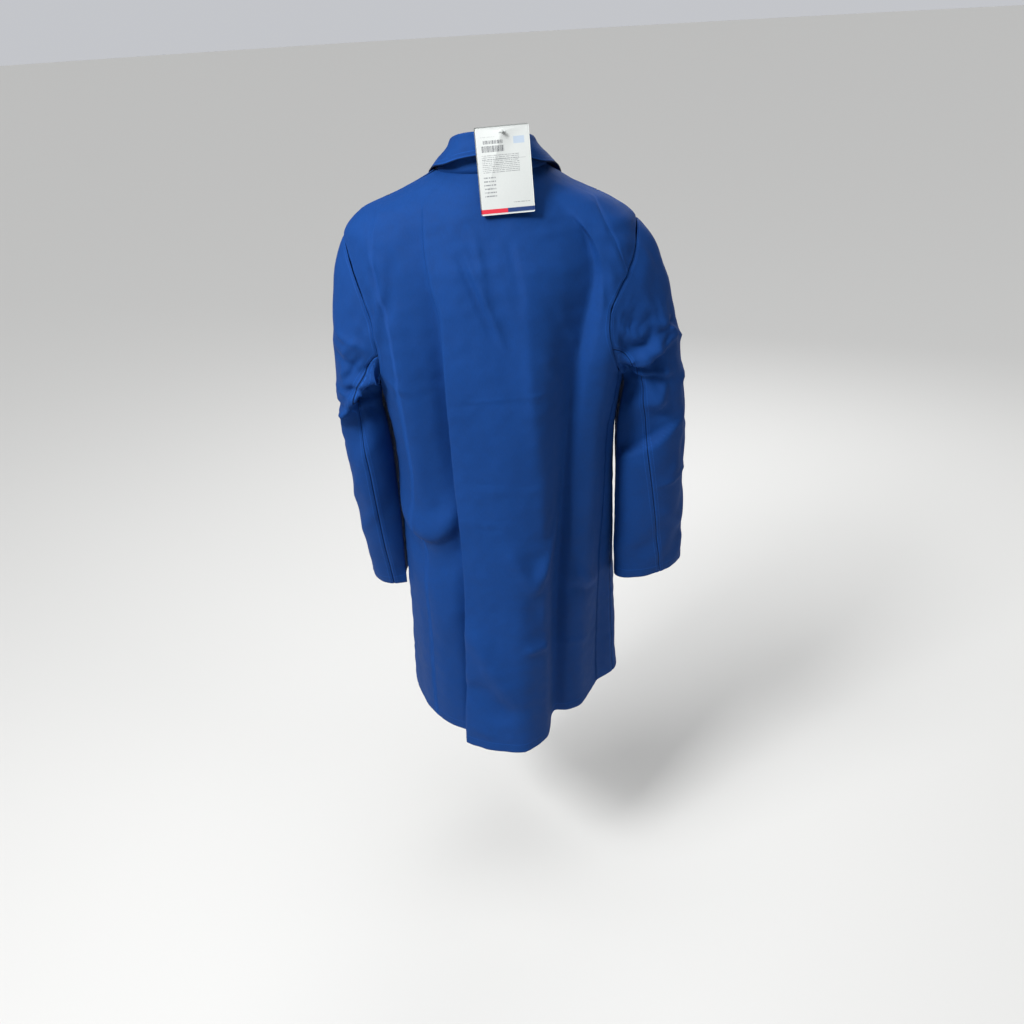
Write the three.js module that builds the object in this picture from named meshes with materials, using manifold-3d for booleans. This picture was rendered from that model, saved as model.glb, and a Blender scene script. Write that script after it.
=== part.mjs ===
// A hip-length work and laboratory coat, hanging as it does when worn: back, fronts, side panels, two-piece
// sleeves, turned-down collar and lapels, patch pockets, press studs, neck facing, labels, loop and swing tag.
// Millimetres. +Z up, +X is the wearer's left, the front faces -Y. The origin is the centre of the neck seat,
// level with the back neck seam.
import * as THREE from "three";
import { mergeVertices } from "three/addons/utils/BufferGeometryUtils.js";
import Module from "manifold-3d";

const wasm = await Module();
wasm.setup();

// Driving dimensions.
const COAT_LENGTH = 1035; // back neck seam to hem
const CLOTH = 1.6; // wall of a panel
const LINING = 1.0; // wall of a facing
const GAP = 0.35; // clearance that sewn neighbours keep
const SHOULDER_Z = -88; // shoulder point, below the neck seat
const UNDERARM_Z = -330;
const YOKE_Z = -250; // above it the fronts stay with the shoulders, below it they swing open
const BREAK_Z = -300; // foot of the neck's V, at the first press stud
const SLEEVE_HEM_Z = -755;
const WRAP = 20; // each front's run past the centre line
const WRAP_RISE = 6; // the outer front's distance over the inner one
const HINGE_TOP_X = 163; // seam of front and side panel at YOKE_Z
const HINGE_HEM_X = 178; // the same seam at the hem
const SIDE_TOP_Z = -50; // the side panel's tip on the shoulder seam
const SIDE_SEAM = THREE.MathUtils.degToRad(12); // how far the side seam sits behind the side
const STUD_COUNT = 5;
const STUD_FIRST_Z = -318;
const STUD_PITCH = 130;
const NECK_HALF_WIDTH = 70; // where the neck's V starts

// Height, half width, depth to the back, depth to the front, how far the widest line lies in front of the axis,
// and the squareness of the back curve, of the body's level sections.
const SECTIONS = [
  [0, 78, 62, 66, 0, 2],
  [-30, 136, 86, 84, 0, 2],
  [-55, 186, 100, 96, 0, 2],
  [SHOULDER_Z, 226, 112, 106, 0, 2.1],
  [-140, 233, 127, 118, 0, 2.2],
  [YOKE_Z, 225, 141, 136, 0, 2.3],
  [UNDERARM_Z, 205, 148, 139, 2, 2.3],
  [-450, 195, 160, 133, 12, 2.1],
  [-700, 201, 180, 124, 26, 1.95],
  [-COAT_LENGTH, 214, 205, 116, 40, 1.85],
];

const BLUE = { color: 0x1b4c94, roughness: 0.8, metalness: 0 };
const DEEP_BLUE = { color: 0x173f7c, roughness: 0.85, metalness: 0 };
const STEEL = { color: 0xb9bcc0, roughness: 0.35, metalness: 1 };
const WOVEN = { color: 0xe9e8e4, roughness: 0.8, metalness: 0 };
const CARD = { color: 0xf1f1ef, roughness: 0.6, metalness: 0 };
const NYLON = { color: 0xdfe6ea, roughness: 0.3, metalness: 0 };

const coat = new THREE.Group();

function add(name, geometry, look, parent = coat) {
  const mesh = new THREE.Mesh(geometry, new THREE.MeshStandardMaterial(look));
  mesh.name = name;
  parent.add(mesh);
  return mesh;
}

// ---- solids ------------------------------------------------------------------------------------------------

function mix(a, b, t) {
  return a + (b - a) * t;
}

function smooth(from, to, value) {
  const t = THREE.MathUtils.clamp((value - from) / (to - from), 0, 1);
  return t * t * (3 - 2 * t);
}

function toSolid(geometry) {
  const bare = geometry.clone();
  bare.deleteAttribute("normal");
  bare.deleteAttribute("uv");
  const merged = mergeVertices(bare, 1e-4);
  const vertProperties = new Float32Array(merged.attributes.position.array);
  const triVerts = new Uint32Array(merged.index.array);
  return new wasm.Manifold(new wasm.Mesh({ numProp: 3, vertProperties, triVerts }));
}

function toGeometry(solid) {
  const { vertProperties, triVerts } = solid.getMesh();
  const geometry = new THREE.BufferGeometry();
  geometry.setAttribute("position", new THREE.Float32BufferAttribute(vertProperties, 3));
  geometry.setIndex(Array.from(triVerts));
  return geometry;
}

// A closed sheet of cloth. point(u, v) is its outer face, for u and v from 0 to 1, and the wall lies on the side
// of the centre that middle(point) gives.
function sheet(point, across, along, wall, middle) {
  const step = 0.01;
  const outer = [];
  const inner = [];
  for (let j = 0; j <= along; j++) {
    for (let i = 0; i <= across; i++) {
      const u = i / across;
      const v = j / along;
      const p = point(u, v);
      const du = point(u + step, v).sub(point(u - step, v));
      const dv = point(u, v + step).sub(point(u, v - step));
      const normal = du.cross(dv).normalize();
      if (normal.dot(p.clone().sub(middle(p))) < 0) normal.negate();
      outer.push(p);
      inner.push(p.clone().addScaledVector(normal, -wall));
    }
  }
  const positions = [...outer, ...inner].flatMap((p) => [p.x, p.y, p.z]);
  const columns = across + 1;
  const half = outer.length;
  const faces = [];
  const quad = (a, b, c, d) => faces.push(a, b, c, a, c, d);
  for (let j = 0; j < along; j++) {
    for (let i = 0; i < across; i++) {
      const a = j * columns + i;
      quad(a, a + 1, a + 1 + columns, a + columns);
      quad(half + a, half + a + columns, half + a + columns + 1, half + a + 1);
    }
  }
  for (let i = 0; i < across; i++) {
    const top = along * columns + i;
    quad(i + 1, i, half + i, half + i + 1);
    quad(top, top + 1, half + top + 1, half + top);
  }
  for (let j = 0; j < along; j++) {
    const left = j * columns;
    const right = left + across;
    quad(left, left + columns, half + left + columns, half + left);
    quad(right + columns, right, half + right, half + right + columns);
  }
  const geometry = new THREE.BufferGeometry();
  geometry.setAttribute("position", new THREE.Float32BufferAttribute(positions, 3));
  geometry.setIndex(faces);
  return facingOut(geometry);
}

// Turns every face round where the body would otherwise be inside out.
function facingOut(geometry) {
  const at = geometry.attributes.position;
  const index = geometry.index.array;
  const [a, b, c] = [new THREE.Vector3(), new THREE.Vector3(), new THREE.Vector3()];
  let volume = 0;
  for (let i = 0; i < index.length; i += 3) {
    a.fromBufferAttribute(at, index[i]);
    b.fromBufferAttribute(at, index[i + 1]);
    c.fromBufferAttribute(at, index[i + 2]);
    volume += a.dot(b.cross(c));
  }
  if (volume < 0) {
    for (let i = 0; i < index.length; i += 3) {
      [index[i + 1], index[i + 2]] = [index[i + 2], index[i + 1]];
    }
  }
  return geometry;
}

function mirrored(geometry) {
  return facingOut(geometry.clone().applyMatrix4(new THREE.Matrix4().makeScale(-1, 1, 1)));
}

// ---- body surface -------------------------------------------------------------------------------------------

const sections = new THREE.CubicInterpolant(SECTIONS.map(([z]) => -z), SECTIONS.flatMap((row) => row.slice(1)), 5);

function sectionAt(z) {
  const [width, back, front, forward, backPower] = sections.evaluate(-z);
  return { width, back, front, forward, backPower, frontPower: mix(2, 2.6, smooth(-60, -300, z)) };
}

// Body point at a plan angle, 0 at the wearer's left side and positive round the back, moved out by rise.
function onBody(angle, z, rise = 0) {
  const { width, back, front, forward, backPower, frontPower } = sectionAt(z);
  const [c, s] = [Math.cos(angle), Math.sin(angle)];
  const depth = s > 0 ? back : front;
  const power = s > 0 ? backPower : frontPower;
  const x = width * Math.sign(c) * Math.abs(c) ** (2 / power);
  const y = depth * Math.sign(s) * Math.abs(s) ** (2 / power);
  const out = new THREE.Vector2(Math.sign(c) * Math.abs(x / width) ** (power - 1) / width,
    Math.sign(s) * Math.abs(y / depth) ** (power - 1) / depth).normalize();
  return new THREE.Vector3(x + rise * out.x, y - forward + rise * out.y, z);
}

// Plan angle of the front surface where its x is as given, and of the surface where |y| is as given.
function angleAtX(x, z) {
  const { width, frontPower } = sectionAt(z);
  const ratio = THREE.MathUtils.clamp(x / width, -1, 1);
  return -Math.acos(Math.sign(ratio) * Math.abs(ratio) ** (frontPower / 2));
}

function angleAtDepth(y, z) {
  const { back, front, backPower, frontPower } = sectionAt(z);
  const [depth, power] = y > 0 ? [back, backPower] : [front, frontPower];
  return Math.asin(Math.min(1, (Math.abs(y) / depth) ** (power / 2)));
}

// The armhole is an egg on the body's side: phase 0 is the shoulder point, 90 degrees its back.
const ARMHOLE_MID_Z = (SHOULDER_Z + UNDERARM_Z) / 2;
const ARMHOLE_HALF = (SHOULDER_Z - UNDERARM_Z) / 2;
const ARMHOLE_BACK = 70;
const ARMHOLE_FRONT = 66;

function armholeDepth(phase) {
  const reach = Math.sin(phase) > 0 ? ARMHOLE_BACK : ARMHOLE_FRONT;
  return reach * Math.sin(phase) * (1 - 0.12 * Math.cos(phase));
}

function armholeAngle(z, side) {
  if (z >= SHOULDER_Z || z <= UNDERARM_Z) return 0;
  const phase = Math.acos((z - ARMHOLE_MID_Z) / ARMHOLE_HALF);
  return angleAtDepth(armholeDepth(phase * side), z);
}

function backEdge(z) {
  return armholeAngle(z, 1) + SIDE_SEAM * THREE.MathUtils.clamp((UNDERARM_Z - z) / 450, 0, 1);
}

function hingeX(z) {
  return mix(HINGE_TOP_X, HINGE_HEM_X, (YOKE_Z - z) / (YOKE_Z + COAT_LENGTH));
}

function neckX(z) {
  return mix(NECK_HALF_WIDTH, 0, Math.min(1, z / BREAK_Z));
}

const rowsBetween = (top, bottom) => (v) => mix(top, bottom, v);
const bodyAxis = (p) => new THREE.Vector3(0, 0, p.z);

// A panel of the body between two plan angles that change with height.
function bodyPanel({ top, bottom, from, to, across, along, wall = CLOTH, rise = () => 0 }) {
  const zAt = rowsBetween(top, bottom);
  const point = (u, v) => {
    const z = zAt(v);
    const angle = mix(from(z), to(z), u);
    return onBody(angle, z, rise(angle, z));
  };
  return sheet(point, across, along, wall, bodyAxis);
}

const seamAngle = (z) => (2 * GAP) / sectionAt(z).width;

// ---- back, side panels and fronts ----------------------------------------------------------------------------

const HEM_Z = -COAT_LENGTH;
// Rows follow the shoulder closely: v is spread so that a third of them lie above the armhole's foot.
function shoulderRows(v) {
  return v < 0.5 ? mix(-1, UNDERARM_Z, (v / 0.5) ** 1.25) : mix(UNDERARM_Z, HEM_Z, (v - 0.5) / 0.5);
}

add("back_panel", sheet((u, v) => {
  const z = v < 0 ? -1 + v : shoulderRows(v);
  const edge = backEdge(z) + seamAngle(z);
  return onBody(mix(edge, Math.PI - edge, u), z);
}, 16, 20, CLOTH, bodyAxis), BLUE);

const sidePanel = bodyPanel({
  top: SIDE_TOP_Z,
  bottom: HEM_Z,
  from: (z) => (z > UNDERARM_Z ? -armholeAngle(z, -1) : backEdge(z)) - seamAngle(z),
  to: (z) => angleAtX(hingeX(z) + 2.5, z),
  across: 5,
  along: 20,
});

const frontUpper = bodyPanel({
  top: -3,
  bottom: YOKE_Z + GAP,
  from: (z) => Math.min(-seamAngle(z), angleAtX(hingeX(z) - 1.5, z)),
  to: (z) => angleAtX(neckX(z), z),
  across: 7,
  along: 12,
});

// A front below the yoke line, from its hinge seam to past the centre line. The outer front rises over the
// inner one as it nears the centre.
const wrapRise = (angle, z) => WRAP_RISE * smooth(hingeX(z) - 40, 55, onBody(angle, z).x);

function frontLeaf(rise) {
  return bodyPanel({
    top: YOKE_Z - 2,
    bottom: HEM_Z,
    from: (z) => angleAtX(hingeX(z) - 1.5, z),
    to: (z) => angleAtX(z > BREAK_Z ? neckX(z) : -WRAP * smooth(BREAK_Z + 1, BREAK_Z - 25, z), z),
    across: 8,
    along: 14,
    rise,
  });
}

// A facing backs the front's edge: a strip of cloth inside it, from the yoke line to the hem.
const FACING_WIDTH = 62;

function frontFacing(rise) {
  const inside = -CLOTH - GAP;
  return bodyPanel({
    top: BREAK_Z - 6,
    bottom: HEM_Z + 4,
    from: (z) => angleAtX(FACING_WIDTH - WRAP, z),
    to: (z) => angleAtX(-(WRAP - 2) * smooth(BREAK_Z + 1, BREAK_Z - 25, z), z),
    across: 4,
    along: 14,
    wall: LINING,
    rise: (angle, z) => rise(angle, z) + inside,
  });
}

// ---- press studs ---------------------------------------------------------------------------------------------

// Heights are above the inner front's outer face. The cap half clips through the outer front, the post half
// through the inner one.
const CAP_RISE = WRAP_RISE + 0.6;
const CAP_PROFILE = [
  [0, CAP_RISE + 2.4], [3, CAP_RISE + 2.2], [6, CAP_RISE + 1.5], [7.5, CAP_RISE + 0.6], [7.5, CAP_RISE],
  [2.2, CAP_RISE], [2.2, 2.7], [6.5, 2.7], [6.5, 1.3], [4.6, 1.3], [4.6, 2.2], [0, 2.2],
];
const POST_PROFILE = [
  [0, 1.9], [1.9, 1.6], [1.9, 0.9], [4.2, 0.9], [4.2, 0.4], [2.2, 0.4], [2.2, -3.7], [5.5, -3.7], [5.5, -4.6],
  [0, -4.6],
];
const HOLE_RADIUS = 2.6;
const studHeights = Array.from({ length: STUD_COUNT }, (_, i) => STUD_FIRST_Z - i * STUD_PITCH);

// Turns a shape whose axis is +Y so that it points out of the front's centre line at a height.
function atCentreFront(geometry, z) {
  const slope = (onBody(-Math.PI / 2, z + 1).y - onBody(-Math.PI / 2, z - 1).y) / 2;
  const placed = geometry.clone().applyMatrix4(new THREE.Matrix4().makeRotationX(Math.PI - Math.atan(slope)));
  return placed.translate(0, onBody(-Math.PI / 2, z).y, z);
}

function turned(profile, segments) {
  const outline = profile.map(([r, h]) => new THREE.Vector2(r, h));
  return facingOut(mergeVertices(bare(new THREE.LatheGeometry(outline, segments)), 1e-4));
}

function bare(geometry) {
  geometry.deleteAttribute("normal");
  geometry.deleteAttribute("uv");
  return geometry;
}

function punched(geometry) {
  let solid = toSolid(geometry);
  for (const z of studHeights) {
    solid = solid.subtract(toSolid(atCentreFront(new THREE.CylinderGeometry(HOLE_RADIUS, HOLE_RADIUS, 30, 10), z)));
  }
  return toGeometry(solid);
}

const flat = () => 0;
add("side_panel_left", sidePanel, BLUE);
add("side_panel_right", mirrored(sidePanel), BLUE);
add("front_left_upper", frontUpper, BLUE);
add("front_right_upper", mirrored(frontUpper), BLUE);
add("front_left", punched(frontLeaf(wrapRise)), BLUE);
add("front_right", punched(mirrored(frontLeaf(flat))), BLUE);
add("front_facing_left", punched(frontFacing(wrapRise)), DEEP_BLUE);
add("front_facing_right", punched(mirrored(frontFacing(flat))), DEEP_BLUE);

studHeights.forEach((z, i) => {
  add(`press_stud_cap_${i + 1}`, atCentreFront(turned(CAP_PROFILE, 10), z), STEEL);
  add(`press_stud_post_${i + 1}`, atCentreFront(turned(POST_PROFILE, 8), z), STEEL);
});

// ---- lapels and collar ---------------------------------------------------------------------------------------

const LAPEL_TOP_Z = -78;
const LAPEL_WIDTH = 62;
const LAPEL_RISE = 4.5;

const lapel = bodyPanel({
  top: LAPEL_TOP_Z,
  bottom: YOKE_Z + 4,
  from: (z) => angleAtX(neckX(z) + 2 + LAPEL_WIDTH * (z - BREAK_Z) / (LAPEL_TOP_Z - BREAK_Z), z),
  to: (z) => angleAtX(neckX(z) + 1, z),
  across: 3,
  along: 6,
  rise: () => LAPEL_RISE,
});
add("lapel_left", lapel, BLUE);
add("lapel_right", mirrored(lapel), BLUE);

// Curves of the collar's left half, from the centre back to the lapel notch: the seat on the neck seam, the fold
// and the free edge of the fall.
const COLLAR_SEAT = [[0, 61, 2], [52, 46, 2], [77, 4, 2], [64, -40, 1], [60, -68, -18], [51, -94, -56]];
const COLLAR_FOLD = [[0, 65, 46], [56, 50, 44], [83, 6, 38], [77, -42, 24], [68, -76, -4], [55, -101, -48]];
const COLLAR_EDGE = [[0, 84, 6], [70, 70, 3], [116, 8, -6], [122, -54, -22], [118, -88, -46], [104, -110, -70]];

function wholeCurve(half) {
  const other = half.slice(1).map(([x, y, z]) => [-x, y, z]).reverse();
  return new THREE.CatmullRomCurve3([...other, ...half].map((p) => new THREE.Vector3(...p)));
}

const seat = wholeCurve(COLLAR_SEAT);
const fold = wholeCurve(COLLAR_FOLD);
const edge = wholeCurve(COLLAR_EDGE);
const within = (t) => THREE.MathUtils.clamp(t, 0, 1);
const collarMiddle = (p) => new THREE.Vector3(p.x * 0.6, p.y * 0.6 - 10, p.z - 12);

add("collar_stand", sheet((u, v) => {
  return seat.getPoint(within(u)).lerp(fold.getPoint(within(u)), mix(0.04, 0.93, v));
}, 22, 2, CLOTH, collarMiddle), DEEP_BLUE);

add("collar_fall", sheet((u, v) => {
  const top = fold.getPoint(within(u));
  const foot = edge.getPoint(within(u));
  const out = foot.clone().sub(top).setZ(0).normalize();
  const t = mix(-0.02, 1, v);
  const place = top.clone().lerp(foot, t);
  place.addScaledVector(out, 3 + 4 * Math.sin(Math.PI * within(t)));
  place.z += 1.5 + 5 * Math.sin(Math.PI * within(t));
  return place;
}, 22, 4, CLOTH, collarMiddle), BLUE);

// ---- sleeves -------------------------------------------------------------------------------------------------

// Each sleeve is a tube in two pieces, an outer one over the arm and a narrower one under it. Its crown starts on
// the armhole and its tube hangs from BICEPS_Z to the hem. x grows outwards on both sides of the coat.
const BICEPS_Z = -348;
const CROWN_SHARE = 0.36; // share of the length parameter that the crown takes
const SLEEVE_INNER = [207, 207]; // inner edge at the biceps and at the hem
const SLEEVE_OUTER = [289, 317];
const SLEEVE_HALF_DEPTH = [76, 52];
const BACK_SEAM = THREE.MathUtils.degToRad(112);
const FRONT_SEAM = THREE.MathUtils.degToRad(-128);

function sleeveRing(phase, t) {
  const inner = mix(...SLEEVE_INNER, t);
  const outer = mix(...SLEEVE_OUTER, t) + 6 * Math.sin(Math.PI * t);
  const depth = mix(...SLEEVE_HALF_DEPTH, t);
  const x = (inner + outer) / 2 + ((outer - inner) / 2) * Math.cos(phase);
  return new THREE.Vector3(x, depth * Math.sin(phase), mix(BICEPS_Z, SLEEVE_HEM_Z, t));
}

function armholeRing(phase) {
  const z = ARMHOLE_MID_Z + (ARMHOLE_HALF - 1) * Math.cos(phase);
  const y = armholeDepth(phase) * 0.985;
  const angle = angleAtDepth(y, z) * Math.sign(y || 1);
  return onBody(angle, z).add(new THREE.Vector3(2.5, 0, 0));
}

function sleevePoint(phase, t) {
  if (t >= CROWN_SHARE) return sleeveRing(phase, (t - CROWN_SHARE) / (1 - CROWN_SHARE));
  const k = Math.max(0, t / CROWN_SHARE);
  const start = armholeRing(phase);
  const end = sleeveRing(phase, 0);
  const bend = new THREE.Vector3(mix(start.x, end.x, 0.72), mix(start.y, end.y, 0.7), mix(start.z, end.z, 0.2));
  const first = start.clone().lerp(bend, k);
  return first.lerp(bend.clone().lerp(end, k), k);
}

const sleeveMiddle = (p) => new THREE.Vector3(p.z > BICEPS_Z ? 214 : 258, 0, Math.min(p.z, -200));

function sleevePiece(from, to, across) {
  const seam = 0.005;
  const point = (u, v) => sleevePoint(mix(from + seam, to - seam, u), v);
  return sheet(point, across, 13, CLOTH, sleeveMiddle);
}

const sleeveTop = sleevePiece(FRONT_SEAM, BACK_SEAM, 11);
const sleeveUnder = sleevePiece(BACK_SEAM, FRONT_SEAM + 2 * Math.PI, 6);
add("sleeve_left_outer", sleeveTop, BLUE);
add("sleeve_left_under", sleeveUnder, BLUE);
add("sleeve_right_outer", mirrored(sleeveTop), BLUE);
add("sleeve_right_under", mirrored(sleeveUnder), BLUE);

// ---- pockets -------------------------------------------------------------------------------------------------

// A patch pocket stands off the front in its middle and at its mouth, and meets it along its sides and foot.
const POCKET_BELLY = 13;

function pocket({ nearX, farX, top, bottom, rise, belly = POCKET_BELLY }) {
  const zAt = rowsBetween(top, bottom);
  const point = (u, v) => {
    const z = zAt(v);
    const angle = mix(angleAtX(farX, z), angleAtX(nearX, z), u);
    const swell = Math.sin(Math.PI * within(u)) ** 0.8 * Math.cos((Math.PI / 2) * within(v)) ** 0.6;
    return onBody(angle, z, rise(angle, z) + CLOTH + 2 * GAP + belly * swell);
  };
  return sheet(point, 8, 6, CLOTH, bodyAxis);
}

const lowerPocket = { nearX: 42, farX: 156, top: -560, bottom: -740 };
add("pocket_left", pocket({ ...lowerPocket, rise: wrapRise }), BLUE);
add("pocket_right", mirrored(pocket({ ...lowerPocket, rise: flat })), BLUE);
add("pocket_chest", pocket({ nearX: 50, farX: 146, top: -268, bottom: -392, rise: wrapRise, belly: 10 }), BLUE);

// ---- neck facing, labels and hanging loop --------------------------------------------------------------------

const inBack = THREE.MathUtils.degToRad(36);
add("back_neck_facing", bodyPanel({
  top: -3,
  bottom: -56,
  from: () => inBack,
  to: () => Math.PI - inBack,
  across: 10,
  along: 3,
  wall: LINING,
  rise: () => -CLOTH - 3.4,
}), DEEP_BLUE);

// A woven label lies inside the neck facing, a care label hangs inside the left side seam.
function labelAcross(halfWidth, top, bottom, rise) {
  const angleAt = (x, z) => Math.PI / 2 - x / sectionAt(z).width;
  return bodyPanel({
    top,
    bottom,
    from: (z) => angleAt(halfWidth, z),
    to: (z) => angleAt(-halfWidth, z),
    across: 4,
    along: 2,
    wall: 0.7,
    rise: () => rise,
  });
}
add("neck_label", labelAcross(18, -16, -38, -CLOTH - LINING - 4.4), WOVEN);

const CARE_ANGLE = THREE.MathUtils.degToRad(14);
add("care_label", bodyPanel({
  top: -790,
  bottom: -845,
  from: () => CARE_ANGLE,
  to: () => CARE_ANGLE + 0.16,
  across: 2,
  along: 3,
  wall: 0.7,
  rise: () => -CLOTH - 1.2,
}), WOVEN);

// The hanging loop is a narrow tape sewn at both ends, drooping in an arc inside the back neck.
const LOOP_HALF = 30;
const LOOP_DROP = 24;
const LOOP_TAPE = 6;
const LOOP_Y = 53;
const LOOP_Z = -5;

add("hanging_loop", sheet((u, v) => {
  const turn = Math.PI * u;
  const arm = new THREE.Vector2(-Math.cos(turn), -Math.sin(turn));
  const wide = mix(-LOOP_TAPE / 2, LOOP_TAPE / 2, v);
  return new THREE.Vector3((LOOP_HALF + wide) * arm.x, LOOP_Y, LOOP_Z + (LOOP_DROP + wide) * arm.y);
}, 16, 1, 1.2, (p) => new THREE.Vector3(p.x, p.y - 10, p.z)), DEEP_BLUE);

// ---- swing tag -----------------------------------------------------------------------------------------------

// The tag is a folded card on a short nylon fastener. Its loop hangs from an anchor filament that passes over the
// collar's fold and ends in a bar inside the neck. The tag leans on the collar and the upper back.
const TAG_WIDTH = 76;
const TAG_LENGTH = 116;
const TAG_CARD = 1.2;
const TAG_HOLE_RADIUS = 2.2;
const TAG_HOLE_Z = -6; // below the pivot
const TAG_HEAD_Z = 2;
const TAG_STANDOFF = 4; // card's inner face, outwards from the pivot
const TAG_PIVOT = new THREE.Vector3(-17, 75, 56);
const TAG_LEAN = THREE.MathUtils.degToRad(14);
const TAG_TWIST = THREE.MathUtils.degToRad(1.8);
const FILAMENT_RADIUS = 0.6;
const BAR_RADIUS = 0.9;
const BAR_LENGTH = 9;

const hanging = new THREE.Group();
hanging.position.copy(TAG_PIVOT);
hanging.rotation.set(TAG_LEAN, TAG_TWIST, 0);
coat.add(hanging);

const cardOutline = new THREE.Shape();
const corner = 3;
const [halfCard, footZ] = [TAG_WIDTH / 2, TAG_HEAD_Z - TAG_LENGTH];
cardOutline.moveTo(-halfCard + corner, footZ);
cardOutline.lineTo(halfCard - corner, footZ);
cardOutline.absarc(halfCard - corner, footZ + corner, corner, -Math.PI / 2, 0, false);
cardOutline.absarc(halfCard - corner, TAG_HEAD_Z - corner, corner, 0, Math.PI / 2, false);
cardOutline.absarc(-halfCard + corner, TAG_HEAD_Z - corner, corner, Math.PI / 2, Math.PI, false);
cardOutline.absarc(-halfCard + corner, footZ + corner, corner, Math.PI, 1.5 * Math.PI, false);
const cardHole = new THREE.Path();
cardHole.absarc(0, TAG_HOLE_Z, TAG_HOLE_RADIUS, 0, 2 * Math.PI, true);
cardOutline.holes.push(cardHole);
const card = new THREE.ExtrudeGeometry(cardOutline, { depth: TAG_CARD, bevelEnabled: false, curveSegments: 4 });
add("swing_tag", card.rotateX(Math.PI / 2).translate(0, TAG_STANDOFF + TAG_CARD, 0), CARD, hanging);

function filamentAlong(route) {
  const points = route.map(([y, z]) => new THREE.Vector3(0, y, z));
  return toSolid(new THREE.ExtrudeGeometry(new THREE.Shape().absarc(0, 0, FILAMENT_RADIUS, 0, 2 * Math.PI), {
    extrudePath: new THREE.CatmullRomCurve3(points),
    steps: 10,
    curveSegments: 3,
  }));
}

function barAt(y, z) {
  const bar = new THREE.CylinderGeometry(BAR_RADIUS, BAR_RADIUS, BAR_LENGTH, 8).rotateZ(Math.PI / 2);
  return toSolid(bar.translate(0, y, z));
}

const outerBarY = TAG_STANDOFF + TAG_CARD + BAR_RADIUS + GAP;
const loop = filamentAlong([[0.6, -0.8], [1.6, -4.5], [4, TAG_HOLE_Z], [outerBarY, TAG_HOLE_Z]]);
add("tag_fastener", toGeometry(loop.add(barAt(outerBarY, TAG_HOLE_Z))), NYLON, hanging);
const anchor = filamentAlong([[-0.9, 0.6], [-7, 0.4], [-15, -2], [-20, -7], [-22, -15]]);
add("tag_anchor", toGeometry(anchor.add(barAt(-22, -15))), NYLON, hanging);

export default coat;
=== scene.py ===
# A royal blue work and laboratory coat as it hangs when worn, built piece by piece around its measured frame.
# Lengths in the tables are millimetres, as a pattern cutter writes them, and MM turns them into metres.
# +X is the wearer's left, +Y the wearer's back and +Z up; the origin is the middle of the neck seat.
import math

import bpy
import numpy as np
from mathutils import Matrix, Vector


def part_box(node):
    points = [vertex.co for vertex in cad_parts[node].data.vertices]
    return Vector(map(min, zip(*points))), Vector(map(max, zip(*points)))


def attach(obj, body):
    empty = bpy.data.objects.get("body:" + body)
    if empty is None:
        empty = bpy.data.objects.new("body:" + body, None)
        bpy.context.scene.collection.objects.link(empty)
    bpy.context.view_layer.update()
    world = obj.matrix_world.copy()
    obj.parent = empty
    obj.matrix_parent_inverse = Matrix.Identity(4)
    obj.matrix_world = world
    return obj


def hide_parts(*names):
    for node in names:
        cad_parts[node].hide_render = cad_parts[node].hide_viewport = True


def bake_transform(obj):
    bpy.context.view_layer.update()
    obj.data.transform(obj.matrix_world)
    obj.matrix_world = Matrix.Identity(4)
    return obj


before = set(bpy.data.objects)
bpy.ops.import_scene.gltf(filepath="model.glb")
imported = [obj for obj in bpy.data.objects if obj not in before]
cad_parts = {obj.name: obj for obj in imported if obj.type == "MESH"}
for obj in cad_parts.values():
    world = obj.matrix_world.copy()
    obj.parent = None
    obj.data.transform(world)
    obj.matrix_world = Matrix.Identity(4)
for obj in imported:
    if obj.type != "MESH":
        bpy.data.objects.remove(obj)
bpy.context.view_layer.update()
bpy.ops.object.select_all(action="DESELECT")
MM = 0.001

# ---- Camera, floor and light -----------------------------------------------------------------------------
# The coat is seen from behind and above, from 1.4 m. A plain pale floor lies where the stand's foot would be,
# and broad soft lamps stand over and beside it, as in a small product studio.
FLOOR_Z = -1.535
eye = bpy.data.objects.new("camera", bpy.data.cameras.new("camera"))
eye.data.sensor_width = 36
eye.data.lens = 30.75
bpy.context.scene.collection.objects.link(eye)
bpy.context.scene.camera = eye
look_round = Matrix.Rotation(math.radians(180.61), 4, "Z")
look_down = Matrix.Rotation(math.radians(90 - 29.76), 4, "X")
lean_over = Matrix.Rotation(math.radians(-3.44), 4, "Z")
eye.matrix_world = Matrix.Translation((-0.014, 1.391, 0.195)) @ look_round @ look_down @ lean_over

bpy.ops.mesh.primitive_circle_add(vertices=96, radius=90, fill_type="NGON", location=(0, 0, FLOOR_Z))
floor = bpy.context.object
floor.name = "studio_floor"
paper = bpy.data.materials.new("floor_paper")
paper.use_nodes = True
paper.node_tree.nodes["Principled BSDF"].inputs["Base Color"].default_value = (0.68, 0.68, 0.67, 1)
paper.node_tree.nodes["Principled BSDF"].inputs["Roughness"].default_value = 0.9
floor.data.materials.append(paper)


def lamp(name, kind, place, watts, size, target=(0, 0, -0.45)):
    """A soft lamp turned to the coat: an area lamp of a size in metres or a sun of one in degrees."""
    light = bpy.data.objects.new(name, bpy.data.lights.new(name, kind))
    if kind == "AREA":
        light.data.size = size
    else:
        light.data.angle = math.radians(size)
    light.data.energy = watts
    light.location = place
    light.rotation_euler = (Vector(target) - Vector(place)).to_track_quat("-Z", "Y").to_euler()
    bpy.context.scene.collection.objects.link(light)


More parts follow.
